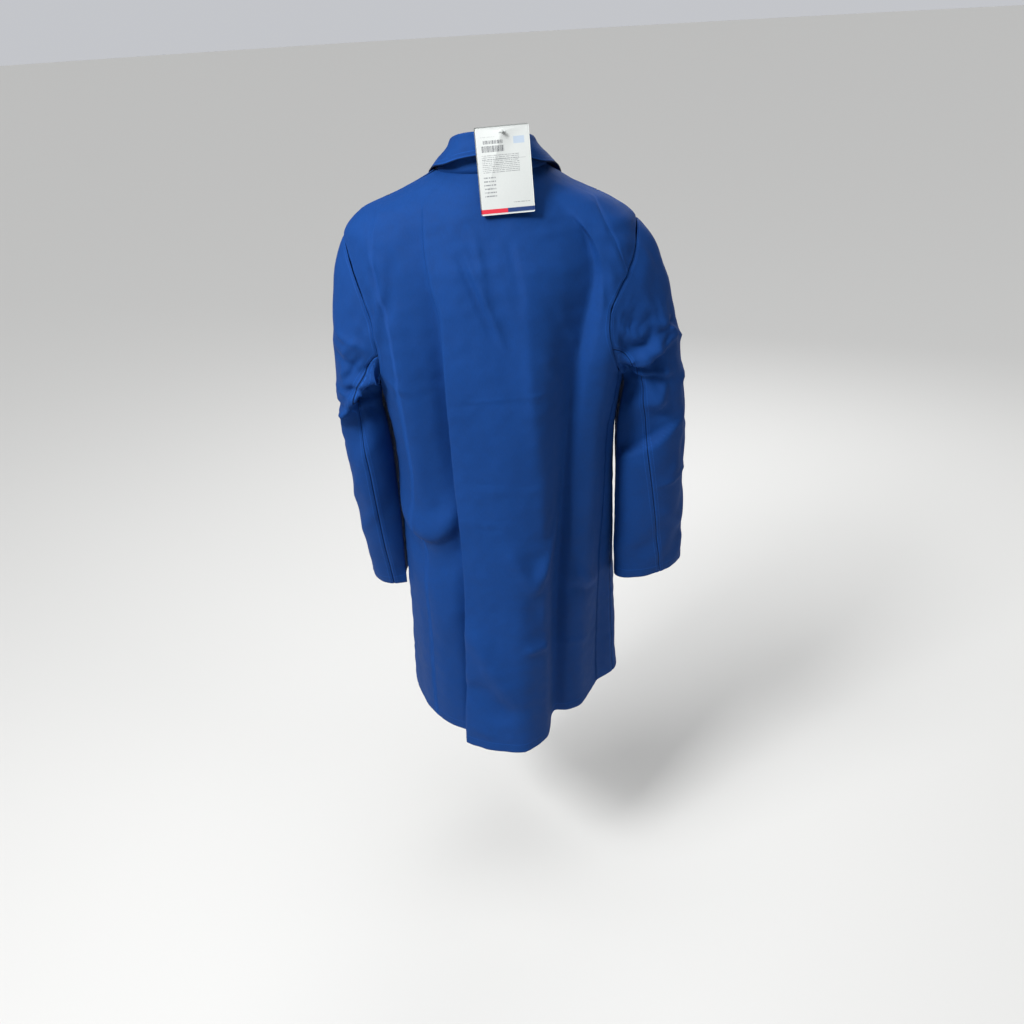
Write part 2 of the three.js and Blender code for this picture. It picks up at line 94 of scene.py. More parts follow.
lamp("sky_window", "SUN", (3.1, 2.3, 4.2), 1.25, 22)
lamp("key_lamp", "AREA", (1.3, 1.4, 1.35), 60, 0.6, (0, 0, -0.25))
lamp("far_window", "SUN", (-3.4, 2.0, 1.6), 0.22, 20)
lamp("ceiling", "SUN", (-0.3, 0.5, 4.0), 1.2, 45)
lamp("front_fill", "AREA", (-0.9, -2.4, 0.9), 36, 1.8)
world = bpy.data.worlds.new("studio")
world.use_nodes = True
sky = world.node_tree.nodes["Background"]
sky.inputs["Color"].default_value = (0.93, 0.95, 1.0, 1)
seen = world.node_tree.nodes.new("ShaderNodeLightPath")
level = world.node_tree.nodes.new("ShaderNodeMath")
level.operation = "MULTIPLY_ADD"
level.inputs[1].default_value = 0.52
level.inputs[2].default_value = 0.07
world.node_tree.links.new(seen.outputs["Is Camera Ray"], level.inputs[0])
world.node_tree.links.new(level.outputs[0], sky.inputs["Strength"])
bpy.context.scene.world = world
bpy.context.scene.view_settings.view_transform = "Standard"

# ---- Back panel ------------------------------------------------------------------------------------------
# The back is cut in one piece from neck to hem, in a polycotton twill of about 240 g/m2, and felled to the
# sides and shoulders. Worn, it hangs in long folds from the shoulder blades, which FOLDS sets out.
CLOTH = 0.9 * MM
HEM_Z = round(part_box("back_panel")[0].z / MM)
SHOULDER_Z = -88
UNDERARM_Z = -330
YOKE_Z = -250
BREAK_Z = -300

# Level sections of the body: height, left and right half width, y of the back, the front and the widest line,
# and the squareness of the back's left and right half.
SECTIONS = np.array([
    [0, 73, 73, 62, -66, 0, 2, 2],
    [-30, 140, 122, 86, -84, 0, 2, 2],
    [-55, 204, 174, 100, -96, 0, 2, 2],
    [SHOULDER_Z, 233, 217, 112, -106, 0, 2.1, 2.1],
    [-140, 237, 230, 127, -118, 0, 2.2, 2.2],
    [YOKE_Z, 226, 223, 141, -132, -4, 2.25, 2.2],
    [UNDERARM_Z, 207, 200, 146, -141, -8, 2.2, 2.1],
    [-450, 198, 186, 148, -145, -20, 2.0, 1.9],
    [-700, 208, 188, 154, -150, -45, 1.75, 1.6],
    [HEM_Z, 228, 203, 165, -156, -82, 1.55, 1.35],
])


def ease(at, knots, values, straight_ends=False):
    """A smooth curve through values at rising knots, read at places; it never overshoots a value."""
    knots, values = np.asarray(knots, float), np.asarray(values, float)
    step = np.diff(knots)
    slope = np.diff(values) / step
    tangent = np.zeros_like(values)
    same = slope[1:] * slope[:-1] > 0
    total = np.where(same, slope[1:] + slope[:-1], 1)
    tangent[1:-1] = np.where(same, 2 * slope[1:] * slope[:-1] / total, 0)
    if straight_ends:
        tangent[0], tangent[-1] = slope[0], slope[-1]
    k = np.clip(np.searchsorted(knots, at) - 1, 0, len(step) - 1)
    t = np.clip((at - knots[k]) / step[k], 0, 1)
    low, high = values[k], values[k + 1]
    return (low * (1 + 2 * t) * (1 - t) ** 2 + high * t * t * (3 - 2 * t)
            + step[k] * t * (1 - t) * (tangent[k] * (1 - t) - tangent[k + 1] * t))


def smooth(start, end, value):
    t = np.clip((value - start) / (end - start), 0, 1)
    return t * t * (3 - 2 * t)


def front_square(z):
    """Squareness of the body's front half at a height."""
    return 2 + 0.6 * smooth(-60, -300, z)


def section(z):
    return [ease(-z, -SECTIONS[:, 0], column, True) for column in SECTIONS[:, 1:].T]


def plain_body(angle, z):
    """x and y of the body without folds, and the direction out of it, at plan angles from the left side."""
    left, right, back, front, widest, square_left, square_right = section(z)
    c, s = np.cos(angle), np.sin(angle)
    half = np.where(c > 0, left, right)
    depth = np.where(s > 0, back - widest, widest - front)
    square = np.where(s > 0, np.where(c > 0, square_left, square_right), front_square(z))
    x = half * np.sign(c) * np.abs(c) ** (2 / square)
    y = depth * np.sign(s) * np.abs(s) ** (2 / square)
    out_x = np.sign(c) * np.abs(x / half) ** (square - 1) / half
    out_y = np.sign(s) * np.abs(y / depth) ** (square - 1) / depth
    long = np.hypot(out_x, out_y)
    return x, y + widest, out_x / long, out_y / long


def angle_at_x(x, z):
    """Plan angle on the front where the body's x is as given."""
    left, right = section(z)[:2]
    ratio = np.clip(x / np.where(x > 0, left, right), -1, 1)
    return -np.arccos(np.sign(ratio) * np.abs(ratio) ** (front_square(z) / 2))


# Fold lines down the back, from the left side to the right: heights, x and depth out of the plain body there,
# and the widest share of the half width that the line may reach near the neck.
FOLDS = [
    ("ridge_left", 0.90, [(0, 168, 0), (-120, 186, 0), (-210, 170, 3), (-330, 163, 5), (-450, 160, 5),
                          (-560, 168, 3), (-700, 166, 0), (-1035, 171, 6)]),
    ("valley_left", 0.80, [(0, 140, 0), (-70, 148, -1), (-128, 147, -4), (-201, 136, -9), (-281, 126, -14),
                           (-418, 128, -15), (-511, 130, -18), (-640, 124, -16), (-800, 122, -13),
                           (-1035, 122, -6)]),
    ("step_base", 0.70, [(0, 106, 0), (-35, 106, -2), (-89, 108, -7), (-146, 104, -12), (-198, 94, -18),
                         (-325, 96, -31), (-455, 96, -37), (-608, 93, -34), (-779, 97, -34), (-1035, 109, -18)]),
    ("step_crest", 0.66, [(0, 101, 0), (-35, 101, 0), (-89, 103, 0), (-146, 98, 1), (-198, 88, 1),
                          (-325, 90, 2), (-455, 90, 3), (-608, 86, 6), (-779, 90, 12), (-1035, 102, 19)]),
    ("panel_left", 0.52, [(0, 70, 0), (-198, 62, 1), (-455, 68, 3), (-779, 68, 9), (-1035, 72, 14)]),
    ("flute_left", 0.33, [(0, 44, 0), (-200, 38, 1), (-450, 42, 3), (-779, 44, 5), (-1035, 44, 9)]),
    ("centre", 0.02, [(0, 0, 0), (-200, -6, 0), (-450, -8, 1), (-640, -4, 0), (-800, 4, 2), (-1035, 10, 3)]),
    ("crease_right", -0.3, [(0, -26, 0), (-67, -28, 1), (-166, -42, 3), (-320, -43, 3), (-455, -46, 3),
                            (-620, -46, 0), (-800, -46, -3), (-1035, -46, -9)]),
    ("valley_right", -0.66, [(0, -60, 0), (-50, -93, -3), (-104, -143, -15), (-151, -150, -20), (-226, -137, -28),
                             (-304, -122, -32), (-423, -114, -33), (-553, -107, -37), (-762, -100, -44),
                             (-989, -99, -50), (-1035, -99, -51)]),
    ("lip_right", -0.76, [(0, -80, 0), (-60, -118, -1), (-151, -160, -3), (-226, -152, -6), (-304, -138, -10),
                          (-423, -128, -14), (-553, -120, -18), (-762, -112, -24), (-1035, -112, -33)]),
    ("ridge_right", -0.84, [(0, -110, 0), (-60, -150, 1), (-185, -172, 1), (-262, -166, 3), (-344, -162, 4),
                            (-430, -152, 1), (-562, -146, -2), (-728, -138, -8), (-1035, -134, -20)]),
    ("hollow_right", -0.93, [(0, -140, 0), (-185, -196, 0), (-344, -184, 0), (-430, -172, -4), (-562, -170, -8),
                             (-728, -170, -14), (-1035, -176, -26)]),
]


def fold_lines(z):
    """x and depth of every fold line and of both sides, from right to left, at one height."""
    left, right = (float(side) for side in section(np.array(z))[:2])
    places, depths = [left], [0.0]
    for _, share, knots in FOLDS:
        heights, across, depth = np.array(knots, float).T
        x = float(ease(-z, -heights, across))
        limit = share * (left if share > 0 else right)
        places.append(min(x, limit) if share > 0.1 else max(x, limit) if share < -0.1 else x)
        depths.append(float(ease(-z, -heights, depth)))
    return np.array(places + [-right])[::-1], np.array(depths + [0.0])[::-1]


def drag_line(x, z, start, end, height, width):
    """A straight pull in the cloth from start to end, fading at both."""
    run = np.subtract(end, start)
    long = math.hypot(*run)
    along = ((x - start[0]) * run[0] + (z - start[1]) * run[1]) / long ** 2
    off = ((x - start[0]) * run[1] - (z - start[1]) * run[0]) / long
    return height * smooth(-0.2, 0.25, along) * smooth(1.2, 0.75, along) * np.exp(-(off / width) ** 2)


# Pulls and creases on the back: start, end, height before PULL, and half width.
PULL = 1.35
BACK_PULLS = [
    ((42, -112), (-3, -236), 3.2, 5), ((54, -112), (8, -230), -2.4, 6), ((30, -78), (18, -168), 2.4, 6),
    ((-20, -96), (-34, -176), -1.8, 5), ((-36, -120), (-44, -420), 1.6, 9),
    ((-8, -150), (-24, -215), 1.8, 8), ((-92, -556), (-36, -672), 7.0, 12),
    ((8, -590), (-32, -678), 4.0, 13), ((-28, -700), (-50, -790), -4.0, 18),
    ((80, -760), (18, -915), 7.0, 20), ((84, -880), (34, -960), -7.0, 26),
    ((-10, -802), (-56, -806), 4.0, 9), ((-70, -316), (76, -322), 0.4, 4),
    ((80, -470), (-60, -482), 0.9, 5), ((84, -536), (0, -540), 1.0, 4),
    ((-60, -250), (-100, -330), 1.6, 9), ((-88, -200), (-128, -262), 1.8, 8),
    ((-70, -180), (-112, -238), -1.4, 9), ((176, -150), (190, -240), 4.6, 7),
    ((190, -120), (168, -196), -4.2, 7), ((156, -110), (166, -190), -3.2, 8),
    ((-168, -112), (-192, -160), 3.4, 7), ((-158, -140), (-170, -214), -3.0, 7),
    ((-150, -86), (-196, -120), 2.8, 8), ((150, -318), (190, -292), 2.2, 8),
    ((104, -700), (150, -820), 2.0, 16), ((-118, -690), (-160, -742), 4.0, 9),
    ((-112, -720), (-156, -760), -3.0, 9), ((-102, -850), (-150, -862), 1.6, 8),
    ((60, -1000), (90, -985), 1.6, 12),
]


def waves(points, seed, length, count=26):
    """Soft unevenness: plane waves of about one length in random directions, from -1 to 1 or so."""
    chance = np.random.default_rng(seed)
    total = np.zeros(points.shape[:-1])
    for _ in range(count):
        way = chance.normal(size=3)
        way /= np.linalg.norm(way)
        scale = 2 * math.pi / (length * chance.uniform(0.7, 1.5))
        total += np.sin(points @ way * scale + chance.uniform(0, 2 * math.pi))
    return total / math.sqrt(count / 2)


def crumple(points, seed, length, count=7):
    """Creased unevenness: flat facets that meet in sharp lines."""
    chance = np.random.default_rng(seed)
    total = np.zeros(points.shape[:-1])
    drift = np.stack([waves(points, seed + k, 3 * length, 8) for k in (1, 2, 3)], -1)
    bent = points + 0.35 * length * drift
    for _ in range(count):
        way = chance.normal(size=3)
        way /= np.linalg.norm(way)
        turn = bent @ way / (length * chance.uniform(0.8, 1.9)) + chance.uniform(0, 1)
        total += 1 - 4 * np.abs(turn - np.floor(turn) - 0.5)
    return total / math.sqrt(count)


def back_relief(x, z, row_z):
    """How far the back stands out of the plain body, for one level row."""
    places, depths = fold_lines(row_z)
    relief = ease(x, places, depths)
    for start, end, height, width in BACK_PULLS:
        relief = relief + drag_line(x, z, start, end, PULL * height, width)
    bowl = smooth(98, 112, x) * smooth(205, 178, x)
    lip = -564 - 44 * (1 - np.clip((x - 150) / 46, -1, 1) ** 2)
    below = lip - z
    belly = 13 * np.exp(-((below + 20) / 34) ** 2) * smooth(6, -10, below)
    tuck = 12 * np.exp(-((below - 40) / 44) ** 2)
    return relief + bowl * (belly - tuck)


def front_relief(x, z):
    """Soft flutes of the fronts, from the chest down."""
    fall = smooth(-330, -900, z)
    flutes = 7 * np.cos(x / 34) * smooth(60, 110, np.abs(x)) * smooth(205, 170, np.abs(x))
    chest = 4 * np.exp(-((np.abs(x) - 85) / 40) ** 2 - ((z + 215) / 70) ** 2)
    return chest + fall * flutes * 0.8


def coat_surface(angle, z, rise=0.0, uneven=True):
    """Points of the coat's outer face, in metres, at plan angles and one height, moved out by rise."""
    row_z = float(np.ravel(z)[0])
    z = np.broadcast_to(np.asarray(z, float), np.shape(angle))
    x, y, out_x, out_y = plain_body(angle, z)
    behind = np.sin(angle) > 0
    relief = front_relief(x, z)
    if np.any(behind):
        relief = np.where(behind, back_relief(x, z, row_z), relief)
    if uneven:
        place = np.stack([x, y, z], -1)
        ripple = 0.6 * waves(place * (1, 1, 0.35), 5, 60) + 0.25 * waves(place, 9, 26)
        ripple = ripple + 0.38 * crumple(place, 21, 46) * smooth(-0.2, 0.8, waves(place, 31, 160, 10))
        relief = relief + smooth(0, -30, z) * ripple
    move = relief + rise
    return np.stack([x + move * out_x, y + move * out_y, z], -1) * MM


# Rows of every body panel: close together over the shoulder, at the armhole's ends and at the hem's fold.
ROWS = np.concatenate([
    np.arange(-1, -82, -2.5), np.arange(-82, -100, -1.2), np.arange(-100, -312, -5.5), np.arange(-312, -333, -2),
    np.arange(-335, -1005, -6), np.linspace(-1005, HEM_Z, 13),
])

ARMHOLE_MID = (SHOULDER_Z + UNDERARM_Z) / 2
ARMHOLE_HALF = (SHOULDER_Z - UNDERARM_Z) / 2
ARMHOLE_REACH = {1: 80, -1: 98}
ARMHOLE_FRONT = 66


def armhole_y(phase, side):
    """How far behind the side line a point of the armhole lies; the phase runs from the shoulder to the back."""
    behind = math.sin(phase) > 0
    reach, lean = (ARMHOLE_REACH[side], 0.25) if behind else (ARMHOLE_FRONT, 0.12)
    return reach * math.sin(phase) * (1 - lean * math.cos(phase))


def angle_at_y(y, z, side):
    """Plan angle, from the given side's widest line, where the body's y is as given."""
    back, front, widest, square_left, square_right = section(z)[2:]
    depth = np.where(y > widest, back - widest, widest - front)
    square = np.where(y > widest, square_left if side > 0 else square_right, front_square(z))
    share = np.clip(np.abs(y - widest) / depth, 0, 1)
    return np.sign(y - widest) * np.arcsin(share ** (square / 2))


def armhole_edge(z, which, side):
    """The armhole's angle from its side at a height: which is 1 for its back edge and -1 for its front edge."""
    phase = math.acos(max(-1, min(1, (z - ARMHOLE_MID) / ARMHOLE_HALF)))
    return float(angle_at_y(armhole_y(phase * which, side), np.array(float(z)), side))


def side_seam(z, side):
    """Angle of the back panel's edge: the shoulder seam, the armhole or the side seam."""
    if z >= SHOULDER_Z:
        return 0.0
    if z > UNDERARM_Z:
        return armhole_edge(z, 1, side)
    start = armhole_edge(UNDERARM_Z, 1, side)
    return start + (math.radians(12) - start) * min(1, (UNDERARM_Z - z) / 450)


def spread(count, edge=(1.5, 3.5, 7)):
    """How the columns of a panel lie along a length: three close ones at each edge and even ones between."""
    def places(length):
        near = np.array(edge) * MM
        near = near * min(1, length / (4 * near[-1]))
        middle = np.linspace(near[-1], length - near[-1], count - 2 * len(near) + 1)
        return np.concatenate([[0], near[:-1], middle, length - near[:-1][::-1], [length]])
    return places


def even(count):
    return lambda length: np.linspace(0, length, count + 1)


def row_between(start, end, z, share, rise=lambda angle, z: 0.0):
    """Angles of one row from start to end, laid out along the cloth's real length by share."""
    dense = np.linspace(start, end, 60)
    line = coat_surface(dense, z, rise(dense, z), uneven=False)
    run = np.concatenate([[0], np.cumsum(np.linalg.norm(np.diff(line, axis=0), axis=1))])
    return np.interp(share(run[-1]), run, dense)


def lengths(points, axis):
    """Running length along a grid's rows or columns."""
    step = np.linalg.norm(np.diff(points, axis=axis), axis=-1)
    shape = list(step.shape)
    shape[axis] = 1
    return np.concatenate([np.zeros(shape), np.cumsum(step, axis=axis)], axis=axis)


def seam_ridge(distance):
    """A felled seam's section: a groove at the join, and the doubled cloth with its two stitch rows beside it."""
    d = distance / MM
    return -0.8 * np.exp(-(d / 1.3) ** 2) + 0.45 * smooth(0.8, 2.4, d) * smooth(10, 7.5, d)


def hem_band(distance, depth=20):
    """A hem's section: the turned-up cloth is thicker, and the stitching pulls in at its top."""
    d = distance / MM
    return 0.55 * smooth(depth + 1.5, depth - 1, d) - 0.5 * np.exp(-((d - depth + 2) / 1.4) ** 2)


def sew_sheet(name, points, finish, seam=None, hem=None, wall=CLOTH, flip=False):
    """A cloth piece from its outer face's grid of points, with its lengths as UV and its seam distances."""
    rows, columns = points.shape[:2]
    across, along = lengths(points, 1), lengths(points, 0)
    middle = columns // 2
    centre = slice(middle, middle + 1)
    uv = np.stack([across - across[:, centre], np.broadcast_to(along[:, centre], across.shape)], -1)
    seam = np.minimum(across, across[:, -1:] - across) if seam is None else seam
    hem = (along[-1:] - along) if hem is None else hem
    index = np.arange(rows * columns).reshape(rows, columns)
    corners = [index[:-1, :-1], index[1:, :-1], index[1:, 1:], index[:-1, 1:]]
    faces = np.stack(corners[::-1] if flip else corners, -1).reshape(-1, 4)
    mesh = bpy.data.meshes.new(name)
    mesh.from_pydata(points.reshape(-1, 3).tolist(), [], faces.tolist())
    corner_uv = uv.reshape(-1, 2)[faces.ravel()].ravel().astype(np.float32)
    mesh.uv_layers.new(name="cloth").data.foreach_set("uv", corner_uv)
    for key, values in (("seam", seam), ("hem", hem)):
        layer = mesh.attributes.new(key, "FLOAT", "POINT")
        layer.data.foreach_set("value", np.broadcast_to(values, (rows, columns)).ravel().astype(np.float32))
    mesh.materials.append(finish)
    mesh.shade_smooth()
    piece = bpy.data.objects.new(name, mesh)
    bpy.context.scene.collection.objects.link(piece)
    bpy.ops.object.select_all(action="DESELECT")
    piece.select_set(True)
    bpy.context.view_layer.objects.active = piece
    solid = piece.modifiers.new("wall", "SOLIDIFY")
    solid.thickness = wall
    solid.offset = -1
    bpy.ops.object.modifier_apply(modifier=solid.name)
    return piece


class Wire:
    """A shader socket that Python's operators work on; each operator adds its Math node."""

    def __init__(self, tree, socket):
        self.tree, self.socket = tree, socket

    def calc(self, operation, *values):
        made = self.tree.nodes.new("ShaderNodeMath")
        made.operation = operation
        for slot, value in zip(made.inputs, values):
            plug(self.tree, slot, value)
        return Wire(self.tree, made.outputs[0])

    def __add__(self, other):
        return self.calc("ADD", self, other)

    def __sub__(self, other):
        return self.calc("SUBTRACT", self, other)

    def __mul__(self, other):
        return self.calc("MULTIPLY", self, other)

    def __truediv__(self, other):
        return self.calc("DIVIDE", self, other)

    def __gt__(self, other):
        return self.calc("GREATER_THAN", self, other)

    def __lt__(self, other):
        return self.calc("LESS_THAN", self, other)

    def __mod__(self, other):
        return self.calc("FLOORED_MODULO", self, other)

    def sine(self):
        return self.calc("SINE", self)

    def size(self):
        return self.calc("ABSOLUTE", self)

    def whole(self):
        return self.calc("FLOOR", self)

    __radd__, __rmul__ = __add__, __mul__


def plug(tree, slot, value):
    if isinstance(value, Wire):
        tree.links.new(value.socket, slot)
    else:
        slot.default_value = value


class Finish:
    """A material whose nodes are added by one method."""

    def __init__(self, name, **constants):
        self.material = bpy.data.materials.new(name)
        self.material.use_nodes = True
        self.tree = self.material.node_tree
        self.shader = self.tree.nodes["Principled BSDF"]
        for key, value in constants.items():
            self.shader.inputs[key.replace("_", " ")].default_value = value

    def node(self, kind, output=0, setting=(), **inputs):
        made = self.tree.nodes.new("ShaderNode" + kind)
        for key, value in dict(setting).items():
            setattr(made, key, value)
        for key, value in inputs.items():
            plug(self.tree, made.inputs[key.replace("_", " ")], value)
        return Wire(self.tree, made.outputs[output])

    def blend(self, share, low, high):
        made = self.tree.nodes.new("ShaderNodeMix")
        made.data_type = "RGBA"
        plug(self.tree, made.inputs[0], share)
        for slot, value in ((made.inputs[6], low), (made.inputs[7], high)):
            plug(self.tree, slot, value if isinstance(value, Wire) else (*value, 1))
        return Wire(self.tree, made.outputs[2])

    def give(self, **inputs):
        for key, value in inputs.items():
            plug(self.tree, self.shader.inputs[key.replace("_", " ")], value)


def twill(name, base, stitched=True):
    """Polycotton twill: diagonal ribs, uneven yarns, a soft cast of lighter and darker dye, stitch rows, and a
    thin line of painted shade at its seams and rims.
    """
    look = Finish(name, Sheen_Weight=0.02, Sheen_Roughness=0.4, Sheen_Tint=(0.35, 0.55, 1.0, 1),
                  Specular_IOR_Level=0.12)
    uv = look.node("UVMap", setting={"uv_map": "cloth"})
    split = look.node("SeparateXYZ", Vector=uv)
    u, v = split, Wire(look.tree, split.socket.node.outputs[1])
    ribs = ((u + v * 1.1) * (2 * math.pi / 0.00115)).sine()
    yarns = look.node("TexNoise", Vector=look.node("VectorMath", setting={"operation": "MULTIPLY"}), Scale=900.0)
    stretch = yarns.socket.node.inputs["Vector"].links[0].from_node
    look.tree.links.new(uv.socket, stretch.inputs[0])
    stretch.inputs[1].default_value = (1.0, 0.16, 1.0)
    place = look.node("TexCoord", output=3)
    cast = look.node("TexNoise", Vector=place, Scale=9.0, Detail=4.0, Roughness=0.6)
    fine = look.node("TexNoise", Vector=place, Scale=70.0, Detail=3.0)
    shade = (cast - 0.5) * 0.55 + (fine - 0.5) * 0.25 + (yarns - 0.5) * 0.45 + ribs * 0.07 + 0.5
    dark = tuple(0.72 * c for c in base)
    light = tuple(1.28 * c for c in base)
    colour = look.blend(shade, dark, light)
    height = ribs * 0.5 + yarns * 0.6 + fine * 0.5
    if stitched:
        seam = look.node("Attribute", output=2, setting={"attribute_name": "seam"})
        hem = look.node("Attribute", output=2, setting={"attribute_name": "hem"})
        dash_down = ((v / 0.0031) % 1.0) > 0.24
        dash_across = ((u / 0.0031) % 1.0) > 0.24
        rows = ((seam - 0.002).size() < 0.00042) * dash_down
        rows = rows + ((seam - 0.0072).size() < 0.00042) * dash_down
        rows = rows + ((hem - 0.0182).size() < 0.0005) * dash_across
        # Painted shade: a dark line 0.55 mm wide, at 0.3 of the base colour, along each seam's join and each
        # piece's rim, where the cloth meets or turns under.
        join = seam < 0.00055
        colour = look.blend(rows, colour, tuple(1.55 * c for c in base))
        colour = look.blend(join, colour, tuple(0.3 * c for c in base))
        height = height + rows * 2.4
    look.give(Base_Color=colour, Roughness=0.74 + (fine - 0.5) * 0.16)
    look.give(Normal=look.node("Bump", Height=height, Strength=0.32, Distance=0.00035))
    return look.material


ROYAL_BLUE = (0.0053, 0.046, 0.205)
coat_cloth = twill("coat_cloth", ROYAL_BLUE)
# The facings, neck facing and hanging loop use the coat's twill at 0.9 of its colour: painted shade for cloth
# that lies inside the coat.
facing_cloth = twill("facing_cloth", tuple(0.9 * c for c in ROYAL_BLUE))

BACK_COLUMNS = [13, 9, 6, 5, 6, 7, 9, 7, 14, 7, 6, 8, 12]  # between neighbouring fold lines, left to right


def back_row(z):
    """Angles of the back panel's row at a height: from fold line to fold line, so that folds follow columns."""
    left_edge, right_edge = side_seam(z, 1), math.pi - side_seam(z, -1)
    inner = fold_lines(z)[0][::-1][1:-1]
    left, right, _, _, _, square_left, square_right = section(np.array(float(z)))
    share = np.clip(inner / np.where(inner > 0, left, right), -0.98, 0.98)
    square = np.where(inner > 0, square_left, square_right)
    stations = np.arccos(np.sign(share) * np.abs(share) ** (square / 2))
    stations = np.concatenate([[left_edge], stations, [right_edge]])
    gap = 0.012
    for k in range(1, len(stations) - 1):
        stations[k] = max(stations[k], stations[k - 1] + gap)
    for k in range(len(stations) - 2, 0, -1):
        stations[k] = min(stations[k], stations[k + 1] - gap)
    angles = []
    for k, count in enumerate(BACK_COLUMNS):
        share = even(count)
        if k == 0:
            share = lambda length: np.concatenate([spread(2 * 13 - 2)(2 * length)[:13], [length]])
        if k == len(BACK_COLUMNS) - 1:
            share = lambda length: length - np.concatenate([spread(2 * 12 - 2)(2 * length)[:12], [length]])[::-1]
        angles.append(row_between(stations[k], stations[k + 1], z, share)[:-1])
    return np.concatenate(angles + [[right_edge]])


def body_grid(rows, row_angles, rise=lambda angle, z: 0.0, ridged=True, hemmed=True, pucker=11):
    """Outer face of a panel from its rows' angles, with its seams' and hem's thickness worked in."""
    plain = np.array([coat_surface(a, z, rise(a, z)) for a, z in zip(row_angles, rows)])
    across = lengths(plain, 1)
    seam = np.minimum(across, across[:, -1:] - across)
    hem = np.ones_like(seam)
    if hemmed:
        hem = np.broadcast_to((np.asarray(rows) - rows[-1])[:, None] * MM, seam.shape)
    z = np.array(rows)[:, None]
    extra = (seam_ridge(seam) if ridged else 0 * seam) + (hem_band(hem) if hemmed else 0)
    extra = extra + 0.28 * np.sin(z / pucker * 2.4 + 3 * np.sin(z / 47)) * np.exp(-((seam / MM - 5) / 6) ** 2)
    out = np.array([np.stack(plain_body(a, np.full(len(a), float(z)))[2:], -1)
                    for a, z in zip(row_angles, rows)])
    plain[..., :2] += out * extra[..., None] * MM
    return plain, seam, hem


back_angles = [back_row(z) for z in ROWS]
grid, seam, hem = body_grid(ROWS, back_angles)
back = sew_sheet("back", grid, coat_cloth, seam, hem)
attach(back, "coat")
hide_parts("back_panel")


# ---- Side panels -----------------------------------------------------------------------------------------
# A side panel runs from a point on the shoulder seam, round the front of the armhole and under it, to the hem.
# It is felled to the back at the side seam and to the front at the long seam that the front swings on.
def seam_x(z):
    """Distance from the middle to the long seam between side panel and front."""
    return 163 + 15 * (YOKE_Z - z) / (YOKE_Z - HEM_Z)


def mirror(angle, side):
    """The plan angle on the wearer's left or, mirrored, on the right."""
    return angle if side > 0 else math.pi - angle


def front_angle(x, z, side):
    """Plan angle of a place on the front, x from the middle towards the given side."""
    angle = float(angle_at_x(np.array(side * x), np.array(float(z))))
    return angle if side > 0 else angle + 2 * math.pi


def panel_side(z, side):
    """Where a side panel starts: the shoulder seam, the front of the armhole or the side seam."""
    if z >= SHOULDER_Z:
        return mirror(0.0, side)
    if z > UNDERARM_Z:
        return mirror(armhole_edge(z, -1, side), side)
    return mirror(side_seam(z, side), side)


def shoulder_tip(side):
    """Height where the long seam meets the shoulder seam."""
    heights = np.arange(-20, -80, -0.5)
    halves = section(heights)[0 if side > 0 else 1]
    return float(heights[np.argmax(halves > seam_x(heights) + 0.5)])


SIDES = {"left": 1, "right": -1}
for word, side in SIDES.items():
    tip = shoulder_tip(side)
    rows = np.concatenate([[tip], ROWS[ROWS < tip - 1]])
    angles = [row_between(panel_side(z, side), front_angle(seam_x(z), z, side), z, spread(26)) for z in rows]
    grid, seam, hem = body_grid(rows, angles)
    panel = sew_sheet("side_" + word, grid, coat_cloth, seam, hem, flip=side > 0)
    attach(panel, "coat")
    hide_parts("side_panel_" + word)

# ---- Fronts ----------------------------------------------------------------------------------------------
# The left front laps over the right one by 40 mm. Each hangs from the shoulder seam; on the coat it turns about
# the long seam when the coat is opened, and here it is built closed.
LAP = 20
LAP_RISE = 6


def swings(piece, word, *nodes, slot="coat_cloth"):
    """A piece of a front: its placing is baked into its mesh, and the nodes from model.glb that it replaces are
    hidden.
    """
    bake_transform(piece)
    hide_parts(*nodes)


def neck_x(z):
    return 70 * max(0, 1 - z / BREAK_Z)


def front_edge_x(z):
    return neck_x(z) if z > BREAK_Z else -LAP * float(smooth(BREAK_Z + 1, BREAK_Z - 25, z))


def lap_rise(side):
    """How far a front stands out: the outer one rises over the inner one towards the middle."""
    def rise(angle, z):
        x = plain_body(angle, np.broadcast_to(np.asarray(z, float), np.shape(angle)))[0]
        return LAP_RISE * smooth(128, 55, x) if side > 0 else 0.0 * x
    return rise


for word, side in SIDES.items():
    tip = shoulder_tip(side)
    rise = lap_rise(side)
    rows = ROWS[ROWS < -3]
    angles = []
    for z in rows:
        start = mirror(0.0, side) if z > tip else front_angle(seam_x(z), z, side)
        angles.append(row_between(start, front_angle(front_edge_x(z), z, side), z, spread(38), rise))
    grid, seam, hem = body_grid(rows, angles, rise)
    front = sew_sheet("front_" + word + "_cloth", grid, coat_cloth, seam, hem, flip=side > 0)
    swings(front, word, "front_" + word, "front_" + word + "_upper")

# ---- Front facings ---------------------------------------------------------------------------------------
# A facing of the same twill lines each front's edge from the break of the lapel to the hem, sewn on with the
# edge and caught at the studs.
FACING_WIDTH = 62
for word, side in SIDES.items():
    rise = lap_rise(side)
    inside = lambda angle, z: rise(angle, z) - CLOTH / MM - 0.9
    rows = ROWS[(ROWS < BREAK_Z - 6) & (ROWS > HEM_Z + 3)]
    angles = []
    for z in rows:
        near, far = front_angle(front_edge_x(z) + 2, z, side), front_angle(FACING_WIDTH - LAP, z, side)
        angles.append(row_between(far, near, z, even(12), inside))
    grid, seam, hem = body_grid(rows, angles, inside, ridged=False, hemmed=False)
    facing = sew_sheet("facing_" + word, grid, facing_cloth, seam, hem, flip=side > 0)
    swings(facing, word, "front_facing_" + word, slot="facing_cloth")

